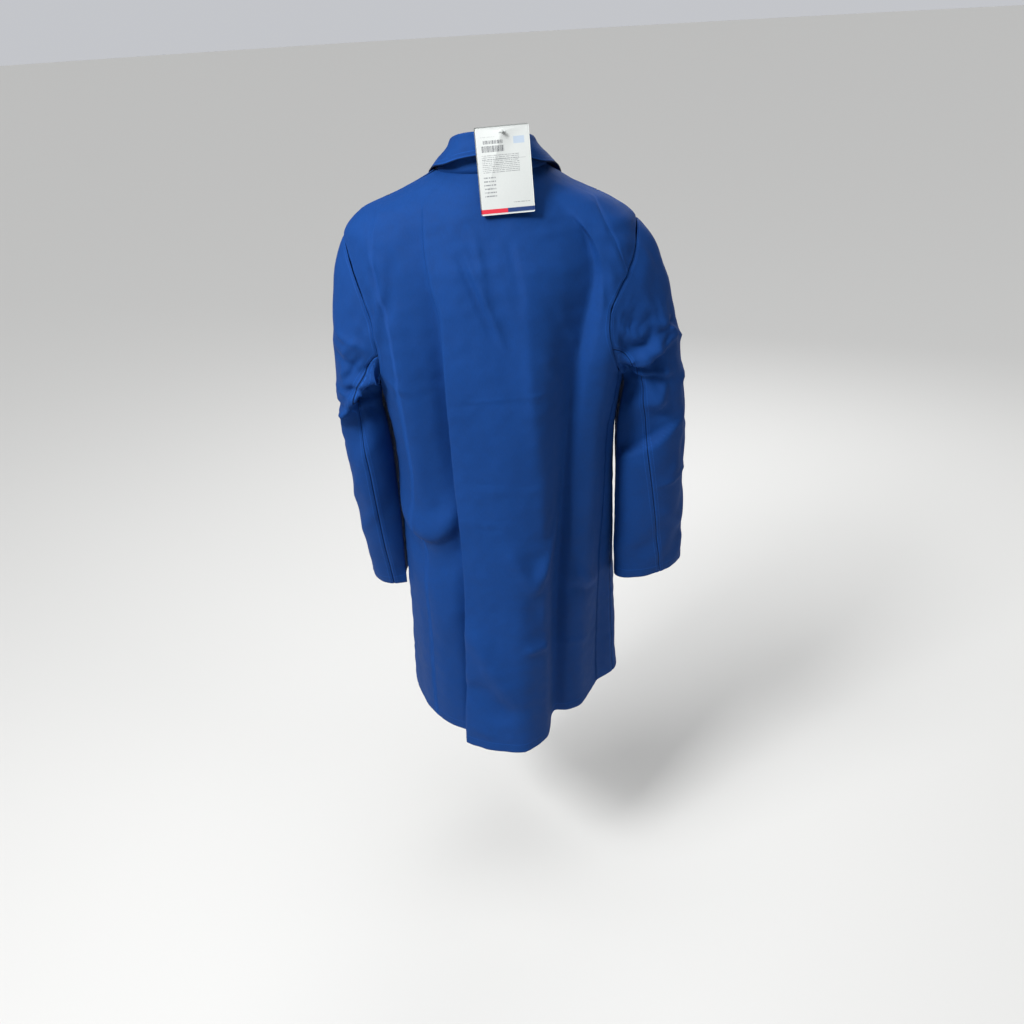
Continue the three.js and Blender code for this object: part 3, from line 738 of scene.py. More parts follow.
# ---- Press studs -----------------------------------------------------------------------------------------
# Five two-part press studs of nickelled brass close the front. Cap and socket are riveted through the outer
# front, post and ring through the inner one, and the post's neck snaps into the socket.
STUD_FIRST_Z, STUD_PITCH, STUD_COUNT = -318, 130, 5
metal = Finish("stud_metal", Metallic=1.0)
brush = metal.node("TexNoise", Vector=metal.node("TexCoord", output=3), Scale=420.0, Detail=3.0)
tone = metal.blend(brush, (0.50, 0.51, 0.53), (0.74, 0.75, 0.77))
metal.give(Base_Color=tone, Roughness=0.2 + brush * 0.22)


def turned(name, steps):
    """A turned part: a disc that is extruded and resized from step to step, (radius, height) in millimetres."""
    bpy.ops.object.select_all(action="DESELECT")
    bpy.ops.mesh.primitive_circle_add(vertices=40, radius=steps[0][0] * MM, fill_type="NGON",
                                      location=(0, 0, steps[0][1] * MM))
    part = bpy.context.object
    part.name = name
    bpy.ops.object.transform_apply(location=True, rotation=False, scale=False)
    bpy.ops.object.mode_set(mode="EDIT")
    bpy.ops.mesh.select_all(action="SELECT")
    for (r0, h0), (r1, h1) in zip(steps, steps[1:]):
        bpy.ops.mesh.extrude_region_move(TRANSFORM_OT_translate={"value": (0, 0, (h1 - h0) * MM)})
        bpy.ops.transform.resize(value=(r1 / r0, r1 / r0, 1))
    bpy.ops.mesh.select_all(action="SELECT")
    bpy.ops.mesh.normals_make_consistent(inside=False)
    bpy.ops.object.mode_set(mode="OBJECT")
    bpy.ops.object.shade_smooth_by_angle(angle=math.radians(35))
    part.data.materials.clear()
    part.data.materials.append(metal.material)
    return part


# Radius and height above the inner front's outer face.
CAP_STEPS = [(2.3, 2.85), (2.4, 1.5), (4.2, 1.5), (6.4, 1.5), (6.7, 2.1), (6.4, 2.8), (3.2, 3.3),
             (2.2, 3.6), (2.2, 6.5), (7.0, 6.6), (7.5, 6.9), (7.6, 7.3), (7.1, 7.9), (5.8, 8.5), (4.0, 8.9),
             (3.6, 8.75), (1.2, 8.9), (0.3, 8.95)]
POST_STEPS = [(1.0, -3.0), (4.9, -3.0), (5.5, -2.7), (5.5, -2.3), (4.9, -2.0), (2.2, -1.9), (2.2, 0.3),
              (4.4, 0.4), (4.6, 0.7), (4.2, 1.0), (2.0, 1.1), (1.7, 1.5), (2.0, 2.1), (1.7, 2.5), (0.3, 2.6)]
for number in range(STUD_COUNT):
    z = STUD_FIRST_Z - number * STUD_PITCH
    place = coat_surface(np.array([-math.pi / 2]), np.array([float(z)]), uneven=False)[0]
    low, high = (coat_surface(np.array([-math.pi / 2]), np.array([z + step]), uneven=False)[0]
                 for step in (-4.0, 4.0))
    slope = math.atan2(high[1] - low[1], high[2] - low[2])
    turn = Matrix.Translation(place) @ Matrix.Rotation(math.pi / 2 - slope, 4, "X")
    for half, word, steps in (("cap", "left", CAP_STEPS), ("post", "right", POST_STEPS)):
        stud = turned(f"stud_{half}_{number + 1}", steps)
        stud.data.transform(turn)
        swings(stud, word, f"press_stud_{half}_{number + 1}", slot="stud_metal")

# ---- Lapels ----------------------------------------------------------------------------------------------
# Each lapel is the top of the front turned back on itself: it rolls over at the neck's edge and lies on the
# front, 62 mm wide at the notch and running out at the first stud.
LAPEL_TOP_Z = -76
ROLL = np.array([[0, 2.5, -1.6], [0.05, -1.2, -0.6], [0.09, -2.6, 1.6], [0.14, -0.6, 3.9], [0.2, 5, 4.4],
                 [0.55, 34, 3.4], [0.9, 56, 2.6], [1, 62, 3.6]])  # share across, distance out, rise
for word, side in SIDES.items():
    rise = lap_rise(side)
    across = np.concatenate([np.linspace(0, 0.2, 11), np.linspace(0.24, 1, 20)])
    out, lift = ease(across, ROLL[:, 0], ROLL[:, 1], True), ease(across, ROLL[:, 0], ROLL[:, 2])
    rows = []
    for share in np.linspace(0, 1, 44):
        z = (LAPEL_TOP_Z - 14 * across ** 1.6) * (1 - share) + (BREAK_Z + 4) * share
        wide = np.where(out > 0, (1 - share) ** 0.9 + 0.02, 1)
        row = []
        for k, height in enumerate(z):
            x = neck_x(height) + out[k] * wide[k]
            angle = np.array([front_angle(x, height, side)])
            height = np.array([height])
            stand = rise(angle, height) + lift[k] * (0.35 + 0.65 * (1 - share))
            row.append(coat_surface(angle, height, stand)[0])
        rows.append(row)
    grid = np.array(rows)
    edge = lengths(grid, 1)
    rim = np.minimum(edge[:, -1:] - edge, lengths(grid, 0)) - 0.0005
    lapel = sew_sheet("lapel_" + word + "_cloth", grid, coat_cloth, rim, np.ones_like(rim), wall=1.6 * MM,
                      flip=side < 0)
    swings(lapel, word, "lapel_" + word)

# ---- Collar ----------------------------------------------------------------------------------------------
# The collar is two layers of twill with a fusible between them. Its stand rises from the neck seam, and the
# fall turns down over it and is stitched 6 mm from its edge. Curves run from the middle back to the left notch.
COLLAR_FOLD = [(0, 62, 50), (38, 56, 48), (53, 30, 41), (56, -2, 32), (57, -42, 18), (58, -76, -6),
               (53, -100, -48)]
COLLAR_EDGE = [(0, 78, 22), (46, 69, 17), (66, 56, 10), (84, 24, 4), (92, -8, -3), (101, -52, -21),
               (106, -86, -56), (96, -101, -80)]
COLLAR_SHIFT = -6  # the collar sits a little to the wearer's right


def through(points, t):
    """A smooth curve through points, read at shares of its length."""
    points = np.asarray(points, float)
    run = np.concatenate([[0], np.cumsum(np.linalg.norm(np.diff(points, axis=0), axis=1))])
    run /= run[-1]
    slope = np.gradient(points, run, axis=0)
    k = np.clip(np.searchsorted(run, t) - 1, 0, len(run) - 2)
    step = (run[k + 1] - run[k])[:, None]
    s = ((t - run[k]) / (run[k + 1] - run[k]))[:, None]
    return (points[k] * (1 + 2 * s) * (1 - s) ** 2 + points[k + 1] * s * s * (3 - 2 * s)
            + step * s * (1 - s) * (slope[k] * (1 - s) - slope[k + 1] * s))


def both_halves(half, shift):
    half = np.array(half, float)
    other = half[:0:-1] * (-1, 1, 1) + np.outer(smooth(0, 60, half[:0:-1, 0]), (shift, 0, shift * 0.5))
    return np.concatenate([other, half])


def neck_seam():
    """The coat's neck edge, just inside it, from the middle back to the notch."""
    behind = [coat_surface(np.array([angle]), np.array([-4.0]), -1.4)[0]
              for angle in np.radians([90, 72, 54, 36, 18, 2])]
    ahead = [coat_surface(np.array([front_angle(neck_x(z) + 2, z, 1)]), np.array([z]), -1.4)[0]
             for z in (-8.0, -18.0, -30.0, -44.0, -56.0)]
    return np.array(behind + ahead) / MM


seat = both_halves(neck_seam(), 0)
fold = both_halves(COLLAR_FOLD, COLLAR_SHIFT)
edge = both_halves(COLLAR_EDGE, COLLAR_SHIFT)
reach = np.linspace(0, 1, 109)
seat, fold, edge = (through(curve, reach) for curve in (seat, fold, edge))
outward = (edge - fold) * (1, 1, 0)
outward /= np.linalg.norm(outward, axis=1)[:, None]
up = np.array([0, 0, 1.0])
STATIONS = [0, 0.2, 0.4, 0.47, 0.5, 0.53, 0.6, 0.8, 1]
profile = [
    seat, seat * 0.55 + fold * 0.45 - outward * 1.5, seat * 0.1 + fold * 0.9 - outward * 0.6, fold + up * 0.6,
    fold + outward * 1.8 + up * 1.7, fold + outward * 3.8 + up * 0.9,
    fold * 0.82 + edge * 0.18 + outward * 3.6 - up,
    fold * 0.38 + edge * 0.62 + outward * 2.6 + up * 0.4, edge,
]
rows = np.concatenate([np.linspace(0, 0.4, 9), np.linspace(0.43, 0.6, 12), np.linspace(0.64, 1, 14)])


def collar_point(v, place):
    """One point of the collar: v runs from the neck seam over the fold to the edge."""
    return [float(ease(np.array(v), STATIONS, [curve[place, axis] for curve in profile], True))
            for axis in range(3)]


grid = np.array([[collar_point(v, place) for place in range(len(reach))] for v in rows])
ripple = 0.5 * waves(grid * (0.6, 0.6, 1), 44, 38) * smooth(0.05, 0.3, rows)[:, None]
grid = (grid + ripple[..., None] * (0.7, 0.7, 0.4)) * MM
run_u, run_v = lengths(grid, 1), lengths(grid, 0)
rim = np.minimum(run_v[-1:] - run_v, np.minimum(run_u, run_u[:, -1:] - run_u))
collar = sew_sheet("collar", grid, coat_cloth, rim - 0.0005, np.ones_like(rim), wall=2.0 * MM, flip=True)
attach(collar, "coat")
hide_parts("collar_stand", "collar_fall")

# ---- Sleeves ---------------------------------------------------------------------------------------------
# Each sleeve is cut in two pieces, a wide one over the arm and a narrow one under it, joined by a back and a
# front seam, set into the armhole with a little ease and hemmed at the wrist. Empty, it flattens and crumples.

# Level rings of a sleeve: height, middle x, middle y, half width, half depth, and turn about the upright.
SLEEVE_RINGS = {
    1: [(-348, 241, -2, 41, 70, 0), (-450, 240, -10, 43, 64, 4), (-600, 239, -32, 43, 54, 10),
        (-755, 234, -58, 46, 40, 20)],
    -1: [(-348, 245, -5, 56, 66, 0), (-450, 246, -12, 64, 58, 8), (-600, 251, -24, 69, 45, 18),
         (-755, 258, -38, 74, 33, 27)],
}
BICEPS_Z = -348
SLEEVE_HEM_Z = -755
CROWN_SHARE = 0.36
FRONT_SEAM = -128
# The back seam swings round the arm on its way down: shares of the length, and the phase at each.
BACK_SEAM = {1: ([0, 0.2, 0.36, 0.6, 1], [116, 108, 86, 98, 104]), -1: ([0, 0.36, 0.6, 1], [118, 112, 104, 88])}
CROWN_BEND = {1: (0.74, -140), -1: (0.66, -134)}

# Pulls in the sleeves: phase and height at start and end, depth and half width. Phase is in degrees round the
# arm, 0 outside, 90 behind and 180 against the body.
SLEEVE_PULLS = {
    1: [((112, -150), (96, -236), 5, 7), ((86, -236), (60, -262), 4.5, 6),
        ((98, -262), (66, -300), -4.5, 6), ((150, -300), (80, -318), -5, 5),
        ((150, -290), (76, -306), 4.5, 5), ((128, -150), (96, -232), 3, 8),
        ((112, -132), (88, -190), -3, 7), ((60, -150), (104, -214), 3, 7),
        ((40, -232), (112, -252), 3.5, 6), ((30, -262), (92, -286), -3.5, 7),
        ((50, -300), (98, -276), 3, 6), ((24, -322), (84, -334), 4, 6), ((110, -240), (130, -300), 3, 8),
        ((20, -368), (150, -352), 5, 5), ((20, -358), (150, -340), -4, 5), ((70, -350), (30, -420), 4, 9),
        ((60, -500), (20, -560), 3, 12), ((100, -560), (30, -640), 3, 14),
        ((-40, -330), (40, -350), 3, 8), ((-90, -330), (-20, -300), 3.5, 9),
        ((-120, -400), (-30, -372), 3.5, 9), ((-60, -480), (20, -440), 2.5, 10),
        ((-100, -560), (-10, -520), 3, 12)],
    -1: [((150, -296), (112, -262), 4.5, 6), ((148, -300), (104, -290), -4.5, 5),
         ((70, -236), (36, -262), 4.5, 6), ((64, -258), (30, -240), -4, 5),
         ((112, -196), (88, -262), 4, 6), ((100, -120), (60, -150), 3, 7),
         ((118, -170), (80, -240), -3, 8), ((60, -210), (30, -290), 4, 9), ((70, -290), (20, -254), 4, 6),
         ((96, -246), (60, -300), 3, 6), ((50, -262), (86, -312), -3.5, 6),
         ((30, -272), (-10, -288), 4, 6), ((120, -280), (84, -312), 4, 7),
         ((150, -318), (60, -326), 5.5, 5), ((150, -330), (60, -338), -4.5, 6),
         ((112, -308), (86, -392), 11, 17), ((62, -300), (84, -388), 6, 10),
         ((40, -430), (70, -540), 2.5, 10), ((92, -545), (18, -526), 3, 5),
         ((90, -600), (30, -660), 2.5, 14), ((-40, -330), (40, -350), 3, 8),
         ((-90, -340), (-20, -310), 3.5, 9), ((-120, -400), (-30, -372), 3.5, 9),
         ((-60, -480), (20, -440), 2.5, 10), ((-100, -560), (-10, -520), 3, 12)],
}
# Folds where the cloth drops over itself: phases and heights of the edge, how far it stands out above and over
# what height, and how far it lies in below and over what height.
SAGS = {
    1: [([0, 30, 60, 90, 120, 150, 200], [-430, -410, -378, -340, -310, -298, -298], 17, 40, -20, 60),
        ([30, 70, 110, 150], [-324, -318, -312, -300], 4, 16, -5, 7)],
    -1: [([0, 40, 70, 100, 130, 150, 200], [-262, -270, -290, -302, -298, -290, -290], 13, 36, -13, 46),
         ([10, 60, 100, 160], [-408, -425, -455, -480], -12, 100, 7, 140)],
}


def sleeve_point(side, phase, t):
    """Points of a plain sleeve, millimetres, at phases in degrees and one share of its length."""
    a = np.radians(phase)
    rings = np.array(SLEEVE_RINGS[side], float)
    z_low = BICEPS_Z + (SLEEVE_HEM_Z - BICEPS_Z) * max(0, t - CROWN_SHARE) / (1 - CROWN_SHARE)
    cx, cy, wide, deep, turn = (float(ease(-z_low, -rings[:, 0], rings[:, k], True)) for k in range(1, 6))
    turn = math.radians(turn)
    dx, dy = wide * np.cos(a), deep * np.sin(a)
    ring = np.stack([cx + dx * math.cos(turn) + dy * math.sin(turn),
                     cy - dx * math.sin(turn) + dy * math.cos(turn), np.full_like(a, z_low)], -1)
    if t >= CROWN_SHARE:
        return ring * (side, 1, 1)
    k = t / CROWN_SHARE
    start = on_armhole(side, a)
    bend_share, bend_z = CROWN_BEND[side]
    bend_fall = (SHOULDER_Z - bend_z) / (SHOULDER_Z - BICEPS_Z)
    bend = np.stack([start[:, 0] + (ring[:, 0] - start[:, 0]) * bend_share,
                     start[:, 1] + (ring[:, 1] - start[:, 1]) * 0.7,
                     start[:, 2] + (ring[:, 2] - start[:, 2]) * bend_fall], -1)
    return ((1 - k) ** 2 * start + 2 * k * (1 - k) * bend + k * k * ring) * (side, 1, 1)


def armhole_ring(side):
    """Points of an armhole's seam all the way round, one a degree, millimetres, x outwards."""
    ring = []
    for phase in np.radians(np.arange(361)):
        z = float(ARMHOLE_MID + (ARMHOLE_HALF - 0.5) * math.cos(phase))
        angle = float(angle_at_y(np.array(armhole_y(phase, side)), np.array(z), side))
        point = coat_surface(np.array([mirror(angle, side)]), np.array([z]))[0] / MM
        ring.append(point * (side, 1, 1))
    return np.array(ring)


# A sleeve's phase 0 is outside, level with the ring's top, which is where the armhole's own phase starts.
ARMHOLE_RINGS = {side: armhole_ring(side) for side in SIDES.values()}


def on_armhole(side, phase):
    turn = np.degrees(phase) % 360
    return np.stack([np.interp(turn, np.arange(361), ARMHOLE_RINGS[side][:, k]) for k in range(3)], -1)


DEGREE = 1.05  # millimetres of sleeve to a degree of phase, for the pulls


def sleeve_relief(side, phase, points):
    """Sag, pulls and crumples of the empty sleeve, millimetres out of the plain one."""
    z = points[..., 2]
    relief = 0.0
    behind = smooth(34, 96, phase) * smooth(172, 134, phase)
    for places, heights, above, above_fade, under, under_fade in SAGS[side]:
        below = ease(phase, places, heights) - z
        relief = relief + behind * above * smooth(-above_fade, -above_fade * 0.35, below) * smooth(4, -6, below)
        relief = relief + behind * under * smooth(under_fade * 2, under_fade * 0.4, below) * smooth(-5, 6, below)
    for start, end, height, width in SLEEVE_PULLS[side]:
        start, end = np.multiply(start, (DEGREE, 1)), np.multiply(end, (DEGREE, 1))
        relief = relief + drag_line(phase * DEGREE, z, start, end, height, width)
    busy = behind * np.exp(-((z + 290) / 110) ** 2)
    relief = relief + (0.6 + 2.4 * busy) * crumple(points, 70 + side, 36)
    elbow = smooth(60, 90, phase) * smooth(165, 140, phase) * np.exp(-((z + 225) / 75) ** 2)
    relief = relief + 3.2 * elbow * crumple(points * (1, 1, 0.8), 90 + side, 34, 3)
    return relief + 1.0 * waves(points * (1, 1, 0.6), 60 + side, 55)


def clear_of_body(points, side, margin):
    """Sleeve points, millimetres, moved out to a margin from the plain body where they would lie in it."""
    x, y, z = points[..., 0], points[..., 1], points[..., 2]
    left, right, back, front, widest, square_left, square_right = section(z)
    half = (left if side > 0 else right) + margin
    behind = y > widest
    depth = np.where(behind, back - widest, widest - front) + margin
    square = np.where(behind, square_left if side > 0 else square_right, front_square(z))
    share = ((np.abs(x) / half) ** square + (np.abs(y - widest) / depth) ** square) ** (1 / square)
    grow = np.maximum(1, 1 / np.maximum(share, 0.5))
    return np.stack([x * grow, widest + (y - widest) * grow, z], -1)


def sleeve_grid(side, start, end, columns):
    steps = np.concatenate([np.linspace(0, 0.05, 6), np.linspace(0.06, CROWN_SHARE, 62),
                            np.linspace(CROWN_SHARE, 0.955, 74)[1:], np.linspace(0.957, 1, 12)])
    dense = np.linspace(start(0.5), end(0.5), 200)
    mid = sleeve_point(side, dense, 0.5)
    run = np.concatenate([[0], np.cumsum(np.linalg.norm(np.diff(mid, axis=0), axis=1))]) * MM
    place = np.interp(spread(columns)(run[-1]), run, np.linspace(0, 1, 200))
    phase = np.array([start(t) + (end(t) - start(t)) * place for t in steps])
    plain = np.array([sleeve_point(side, row, t) for row, t in zip(phase, steps)])
    step = 0.01
    down = np.array([sleeve_point(side, row, min(1, t + step)) - sleeve_point(side, row, max(0, t - step))
                     for row, t in zip(phase, steps)])
    around = np.array([sleeve_point(side, row + 2, t) - sleeve_point(side, row - 2, t)
                       for row, t in zip(phase, steps)])
    out = np.cross(around, down) * -side
    out /= np.linalg.norm(out, axis=-1)[..., None]
    relief = sleeve_relief(side, phase, plain)
    relief = relief * smooth(0.0, 0.10, steps)[:, None]
    across = lengths(plain * MM, 1)
    seam = np.minimum(across, across[:, -1:] - across)
    hem = (lengths(plain * MM, 0)[-1:] - lengths(plain * MM, 0))
    top = lengths(plain * MM, 0)
    relief = relief + seam_ridge(seam) * smooth(0, 0.03, steps)[:, None] + hem_band(hem)
    relief = relief - 2.2 * np.exp(-(top / MM / 2.2) ** 2)
    cloth = clear_of_body(plain + out * relief[..., None], side, 7 * smooth(4, 45, top / MM) - 1)
    return cloth * MM, np.minimum(seam, top + 0.0004), hem


for word, side in SIDES.items():
    back_line = lambda t: float(ease(t, *BACK_SEAM[side], True))
    for part, start, end, columns in (("outer", lambda t: FRONT_SEAM, back_line, 78),
                                      ("under", back_line, lambda t: 360 + FRONT_SEAM, 38)):
        grid, seam, hem = sleeve_grid(side, start, end, columns)
        sleeve = sew_sheet(f"sleeve_{word}_{part}_cloth", grid, coat_cloth, seam, hem, flip=side < 0)
        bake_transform(sleeve)
        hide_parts(f"sleeve_{word}_{part}")

# ---- Pockets ---------------------------------------------------------------------------------------------
# Two patch pockets at the hips and one on the left chest, of the coat's twill, with a 25 mm hem at the mouth and
# two rows of stitches at the sides and foot. The mouth stands open a little.
POCKETS = [("pocket_left", 1, 42, 156, -560, -740, 11), ("pocket_right", -1, 42, 156, -560, -740, 11),
           ("pocket_chest", 1, 50, 146, -268, -392, 8)]
for name, side, near, far, top, foot, belly in POCKETS:
    rise = lap_rise(side)
    across = np.concatenate([[0, 0.012, 0.03], np.linspace(0.06, 0.94, 24), [0.97, 0.988, 1]])
    down = np.concatenate([np.linspace(0, 0.17, 9), np.linspace(0.2, 0.96, 24), [0.98, 0.99, 1]])
    rows = []
    for v in down:
        row = []
        for u in across:
            z = top + (foot - top) * v + 14 * smooth(0.82, 1, v) * (smooth(0.16, 0, u) + smooth(0.84, 1, u))
            angle = np.array([front_angle(far + (near - far) * u, z, side)])
            lift = CLOTH / MM + 0.5 + belly * math.sin(math.pi * u) ** 0.8 * math.cos(math.pi / 2 * v) ** 0.6
            lift += 0.5 * float(smooth(0.16, 0.13, v))
            row.append(coat_surface(angle, np.array([float(z)]), rise(angle, np.array([float(z)])) + lift)[0])
        rows.append(row)
    grid = np.array(rows)
    run_u, run_v = lengths(grid, 1), lengths(grid, 0)
    rim = np.minimum(np.minimum(run_u, run_u[:, -1:] - run_u), run_v[-1:] - run_v)
    pocket = sew_sheet(name + "_cloth", grid, coat_cloth, rim - 0.0002, run_v - 0.006, flip=side > 0)
    swings(pocket, "left" if side > 0 else "right", name)

# ---- Neck facing, labels and hanging loop ----------------------------------------------------------------
# A shaped facing lines the back of the neck. A blank woven label is stitched to it, a care label is caught in
# the left side seam, and a narrow tape loop for a coat hook is sewn in with the collar.
def inner_sheet(name, node, rows, start, end, columns, depth, finish, wall):
    angles = [row_between(start(z), end(z), z, even(columns), lambda a, z: -depth) for z in rows]
    grid = np.array([coat_surface(a, z, -depth, uneven=False) for a, z in zip(angles, rows)])
    across, along = lengths(grid, 1), lengths(grid, 0)
    rim = np.minimum(np.minimum(across, across[:, -1:] - across), np.minimum(along, along[-1:] - along))
    piece = sew_sheet(name, grid, finish, rim, np.ones_like(rim), wall=wall)
    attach(piece, "coat")
    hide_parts(node)


def ribbon_cloth(name, base):
    look = Finish(name, Sheen_Weight=0.2, Sheen_Roughness=0.4)
    uv = look.node("UVMap", setting={"uv_map": "cloth"})
    split = look.node("SeparateXYZ", Vector=uv)
    u, v = split, Wire(look.tree, split.socket.node.outputs[1])
    weave = (u * (2 * math.pi / 0.0006)).sine() * (v * (2 * math.pi / 0.0009)).sine()
    seam = look.node("Attribute", output=2, setting={"attribute_name": "seam"})
    row = ((seam - 0.002).size() < 0.0004) * (((u + v) / 0.0026 % 1.0) > 0.3)
    colour = look.blend(weave * 0.3 + 0.5, tuple(0.9 * c for c in base), base)
    look.give(Base_Color=look.blend(row, colour, tuple(0.45 * c for c in base)), Roughness=0.62 + weave * 0.08)
    look.give(Normal=look.node("Bump", Height=weave + row * 2, Strength=0.3, Distance=0.0002))
    return look.material


white_ribbon = ribbon_cloth("label_ribbon", (0.80, 0.80, 0.77))
neck_angle = math.radians(36)
inner_sheet("neck_facing", "back_neck_facing", np.linspace(-3, -56, 14), lambda z: neck_angle,
            lambda z: math.pi - neck_angle, 50, 3.4, facing_cloth, 0.8 * MM)
inner_sheet("neck_label_ribbon", "neck_label", np.linspace(-16, -38, 8),
            lambda z: math.pi / 2 - 18 / float(section(np.array(z))[0]),
            lambda z: math.pi / 2 + 18 / float(section(np.array(z))[0]), 14, 5.2, white_ribbon,
            0.5 * MM)
inner_sheet("care_label_ribbon", "care_label", np.linspace(-790, -845, 12), lambda z: side_seam(z, 1) + 0.004,
            lambda z: side_seam(z, 1) + 0.11, 8, 2.6, white_ribbon, 0.5 * MM)

turn = np.linspace(0, math.pi, 41)
tape = []
for wide in np.linspace(-3, 3, 7):
    drop = -5 - (24 + wide) * np.sin(turn)
    tape.append(np.stack([(30 + wide) * np.cos(turn), 53.3 + 0.5 * np.cos(turn * 6), drop], -1))
grid = np.array(tape) * MM
run = lengths(grid, 0)
loop = sew_sheet("hanging_loop_tape", grid, facing_cloth, np.minimum(run, run[-1:] - run) + 0.001,
                 np.ones(grid.shape[:2]), wall=1.1 * MM, flip=True)
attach(loop, "hanging_loop")
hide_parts("hanging_loop")

# ---- Swing tag -------------------------------------------------------------------------------------------
# A coated card, 76 by 116 mm, folded at its head and punched near it. A moulded nylon fastener goes through the
# hole and over the collar to a bar inside the neck. The print is plain bars, rules and blocks of colour.
TAG_WIDTH, TAG_LENGTH, TAG_HEAD, TAG_HOLE_Z, TAG_FACE = 76, 116, 2, -6, 5.2
TAG_PLACE = (Matrix.Translation((-0.017, 0.075, 0.056)) @ Matrix.Rotation(math.radians(14), 4, "X")
             @ Matrix.Rotation(math.radians(1.8), 4, "Y"))

bpy.ops.object.select_all(action="DESELECT")
bpy.ops.mesh.primitive_cube_add(size=1, location=(0, (TAG_FACE - 0.6) * MM, (TAG_HEAD - TAG_LENGTH / 2) * MM),
                                scale=(TAG_WIDTH * MM, 1.0 * MM, TAG_LENGTH * MM))
card = bpy.context.object
card.name = "tag_card_sheet"
bpy.ops.object.transform_apply(location=True, rotation=False, scale=True)
bpy.ops.object.mode_set(mode="EDIT")
bpy.ops.mesh.select_all(action="DESELECT")
bpy.ops.object.mode_set(mode="OBJECT")
for line in card.data.edges:
    ends = [card.data.vertices[k].co for k in line.vertices]
    line.select = abs(ends[0].y - ends[1].y) > 0.5 * MM
bpy.ops.object.mode_set(mode="EDIT")
bpy.ops.mesh.bevel(offset=2.5 * MM, segments=6, affect="EDGES")
bpy.ops.object.mode_set(mode="OBJECT")
bpy.ops.mesh.primitive_cylinder_add(vertices=32, radius=2.0 * MM, depth=0.02,
                                    location=(0, TAG_FACE * MM, TAG_HOLE_Z * MM), rotation=(math.pi / 2, 0, 0))
punch = bpy.context.object
bpy.context.view_layer.objects.active = card
cut = card.modifiers.new("hole", "BOOLEAN")
cut.object = punch
bpy.ops.object.select_all(action="DESELECT")
card.select_set(True)
bpy.ops.object.modifier_apply(modifier=cut.name)
bpy.data.objects.remove(punch)
rounding = card.modifiers.new("rounding", "BEVEL")
rounding.width = 0.15 * MM
rounding.segments = 2
rounding.limit_method = "ANGLE"
bpy.ops.object.modifier_apply(modifier=rounding.name)
bpy.ops.object.shade_smooth_by_angle(angle=math.radians(40))
print_map = card.data.uv_layers.new(name="print")
for corner in card.data.loops:
    spot = card.data.vertices[corner.vertex_index].co
    upward = (spot.z / MM - TAG_HEAD + TAG_LENGTH) / TAG_LENGTH
    print_map.data[corner.index].uv = (0.5 - spot.x / (TAG_WIDTH * MM), upward)
card.data.transform(TAG_PLACE)

stock = Finish("tag_card", Coat_Weight=0.15, Coat_Roughness=0.25)
uv = stock.node("UVMap", setting={"uv_map": "print"})
split = stock.node("SeparateXYZ", Vector=uv)
across, upward = split, Wire(stock.tree, split.socket.node.outputs[1])
fibre = stock.node("TexNoise", Vector=stock.node("TexCoord", output=3), Scale=600.0, Detail=2.0)
ink = stock.blend(fibre, (0.54, 0.57, 0.56), (0.60, 0.62, 0.61))


def block(left, right, low, high):
    return ((across > left) * (across < right)) * ((upward > low) * (upward < high))


def bars(seed, left, right, low, high, pitch):
    """A field of upright bars of uneven width."""
    wide = stock.node("TexNoise", setting={"noise_dimensions": "1D"}, W=across * (1 / pitch) + seed, Scale=1.0,
                      Detail=2.0)
    return block(left, right, low, high) * (wide > 0.5)


def rules(left, right, low, high, pitch, seed):
    """Grey lines of broken words, as small print looks from afar."""
    words = stock.node("TexNoise", setting={"noise_dimensions": "2D"}, Scale=1.0, Detail=1.0,
                       Vector=stock.node("CombineXYZ", X=across * 46 + seed, Y=(upward / pitch).whole() * 7))
    return block(left, right, low, high) * (((upward / pitch) % 1.0) < 0.36) * (words > 0.44)


dark_ink = bars(3.0, 0.14, 0.50, 0.805, 0.845, 0.012) + bars(9.0, 0.11, 0.52, 0.715, 0.785, 0.011)
grey_ink = rules(0.10, 0.78, 0.47, 0.69, 0.021, 2.0) + rules(0.10, 0.32, 0.19, 0.44, 0.042, 5.0)
grey_ink = grey_ink + rules(0.10, 0.36, 0.868, 0.885, 0.021, 8.0) + block(0.10, 0.90, 0.627, 0.630)
grey_ink = grey_ink + rules(0.62, 0.92, 0.125, 0.143, 0.021, 11.0)
ink = stock.blend(dark_ink, ink, (0.05, 0.055, 0.07))
ink = stock.blend(grey_ink * 0.75, ink, (0.12, 0.13, 0.15))
ink = stock.blend(block(0.70, 0.90, 0.79, 0.87), ink, (0.42, 0.50, 0.60))
ink = stock.blend(block(0.0, 0.5, 0.018, 0.068), ink, (0.62, 0.02, 0.045))
ink = stock.blend(block(0.5, 1.0, 0.018, 0.068), ink, (0.012, 0.04, 0.16))
stock.give(Base_Color=ink, Roughness=0.42 + fibre * 0.1)
stock.give(Normal=stock.node("Bump", Height=fibre, Strength=0.1, Distance=0.0001))
card.data.materials.clear()
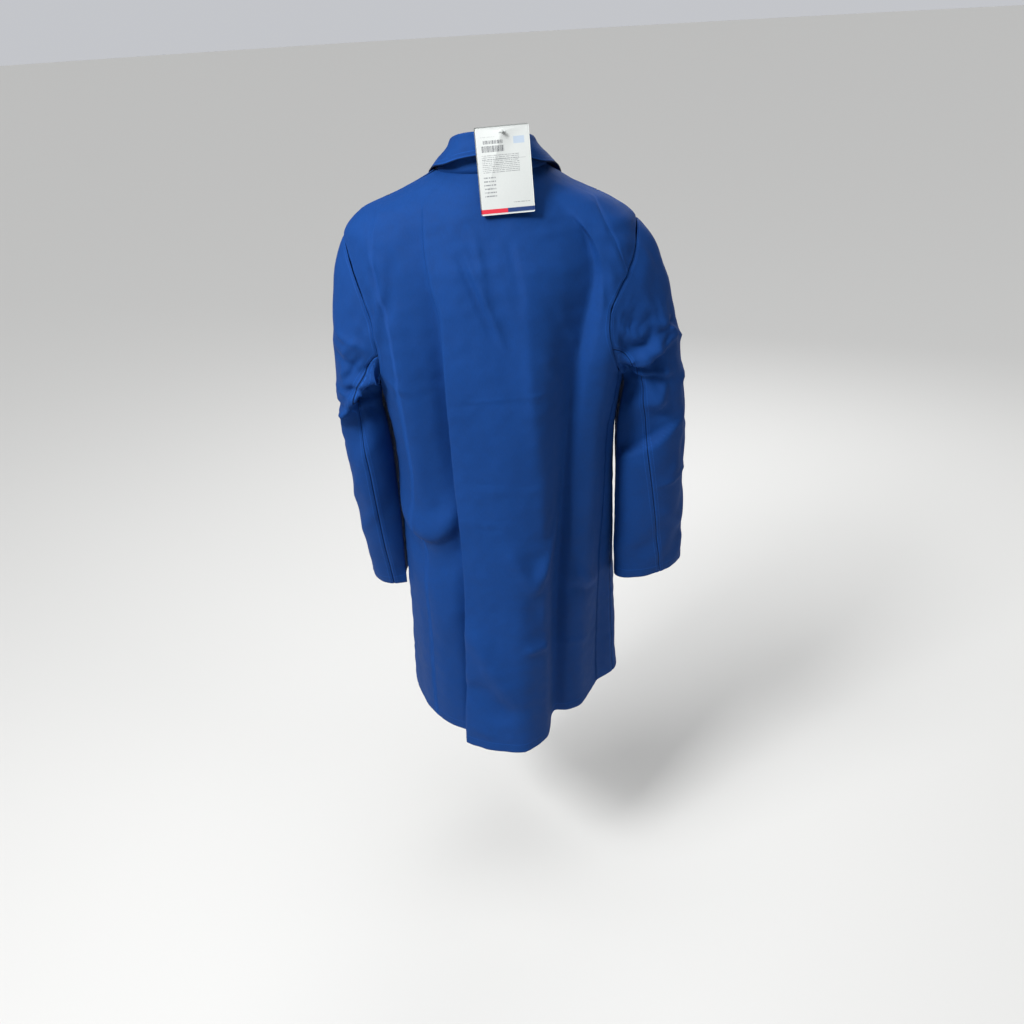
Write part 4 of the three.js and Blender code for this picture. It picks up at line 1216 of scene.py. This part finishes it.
card.data.materials.append(stock.material)
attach(card, "swing_tag")
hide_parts("swing_tag")

nylon = Finish("tag_nylon", Roughness=0.22, IOR=1.53, Transmission_Weight=0.35)
haze = nylon.node("TexNoise", Vector=nylon.node("TexCoord", output=3), Scale=300.0, Detail=2.0)
nylon.give(Base_Color=nylon.blend(haze, (0.74, 0.78, 0.80), (0.86, 0.89, 0.90)))


def filament(name, route, bar, body, node):
    """A nylon thread along a route that ends in a moulded cross bar, in the tag's own leaning frame."""
    curve = bpy.data.curves.new(name, "CURVE")
    curve.dimensions = "3D"
    curve.bevel_depth = 0.55 * MM
    curve.bevel_resolution = 4
    curve.resolution_u = 10
    curve.use_fill_caps = True
    thread = curve.splines.new("BEZIER")
    thread.bezier_points.add(len(route) - 1)
    for knot, (y, z) in zip(thread.bezier_points, route):
        knot.co = (0, y * MM, z * MM)
        knot.handle_left_type = knot.handle_right_type = "AUTO"
    cross = curve.splines.new("BEZIER")
    cross.bezier_points.add(2)
    for knot, x in zip(cross.bezier_points, (-4.5, 0, 4.5)):
        knot.co = (x * MM, bar[0] * MM, bar[1] * MM)
        knot.radius = 1.5 if x == 0 else 1.15
        knot.handle_left_type = knot.handle_right_type = "AUTO"
    piece = bpy.data.objects.new(name, curve)
    bpy.context.scene.collection.objects.link(piece)
    bpy.ops.object.select_all(action="DESELECT")
    piece.select_set(True)
    bpy.context.view_layer.objects.active = piece
    bpy.ops.object.convert(target="MESH")
    piece = bpy.context.object
    piece.data.transform(TAG_PLACE)
    piece.data.materials.clear()
    piece.data.materials.append(nylon.material)
    piece.data.shade_smooth()
    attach(piece, body)
    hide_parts(node)


filament("tag_fastener_thread", [(0.6, -0.8), (1.6, -4.5), (4, TAG_HOLE_Z), (6.3, TAG_HOLE_Z)], (6.4, TAG_HOLE_Z),
         "swing_tag", "tag_fastener")
filament("tag_anchor_thread", [(-0.9, 0.6), (-7, 0.4), (-15, -2), (-20, -7), (-22, -15)], (-22, -15), "coat",
         "tag_anchor")
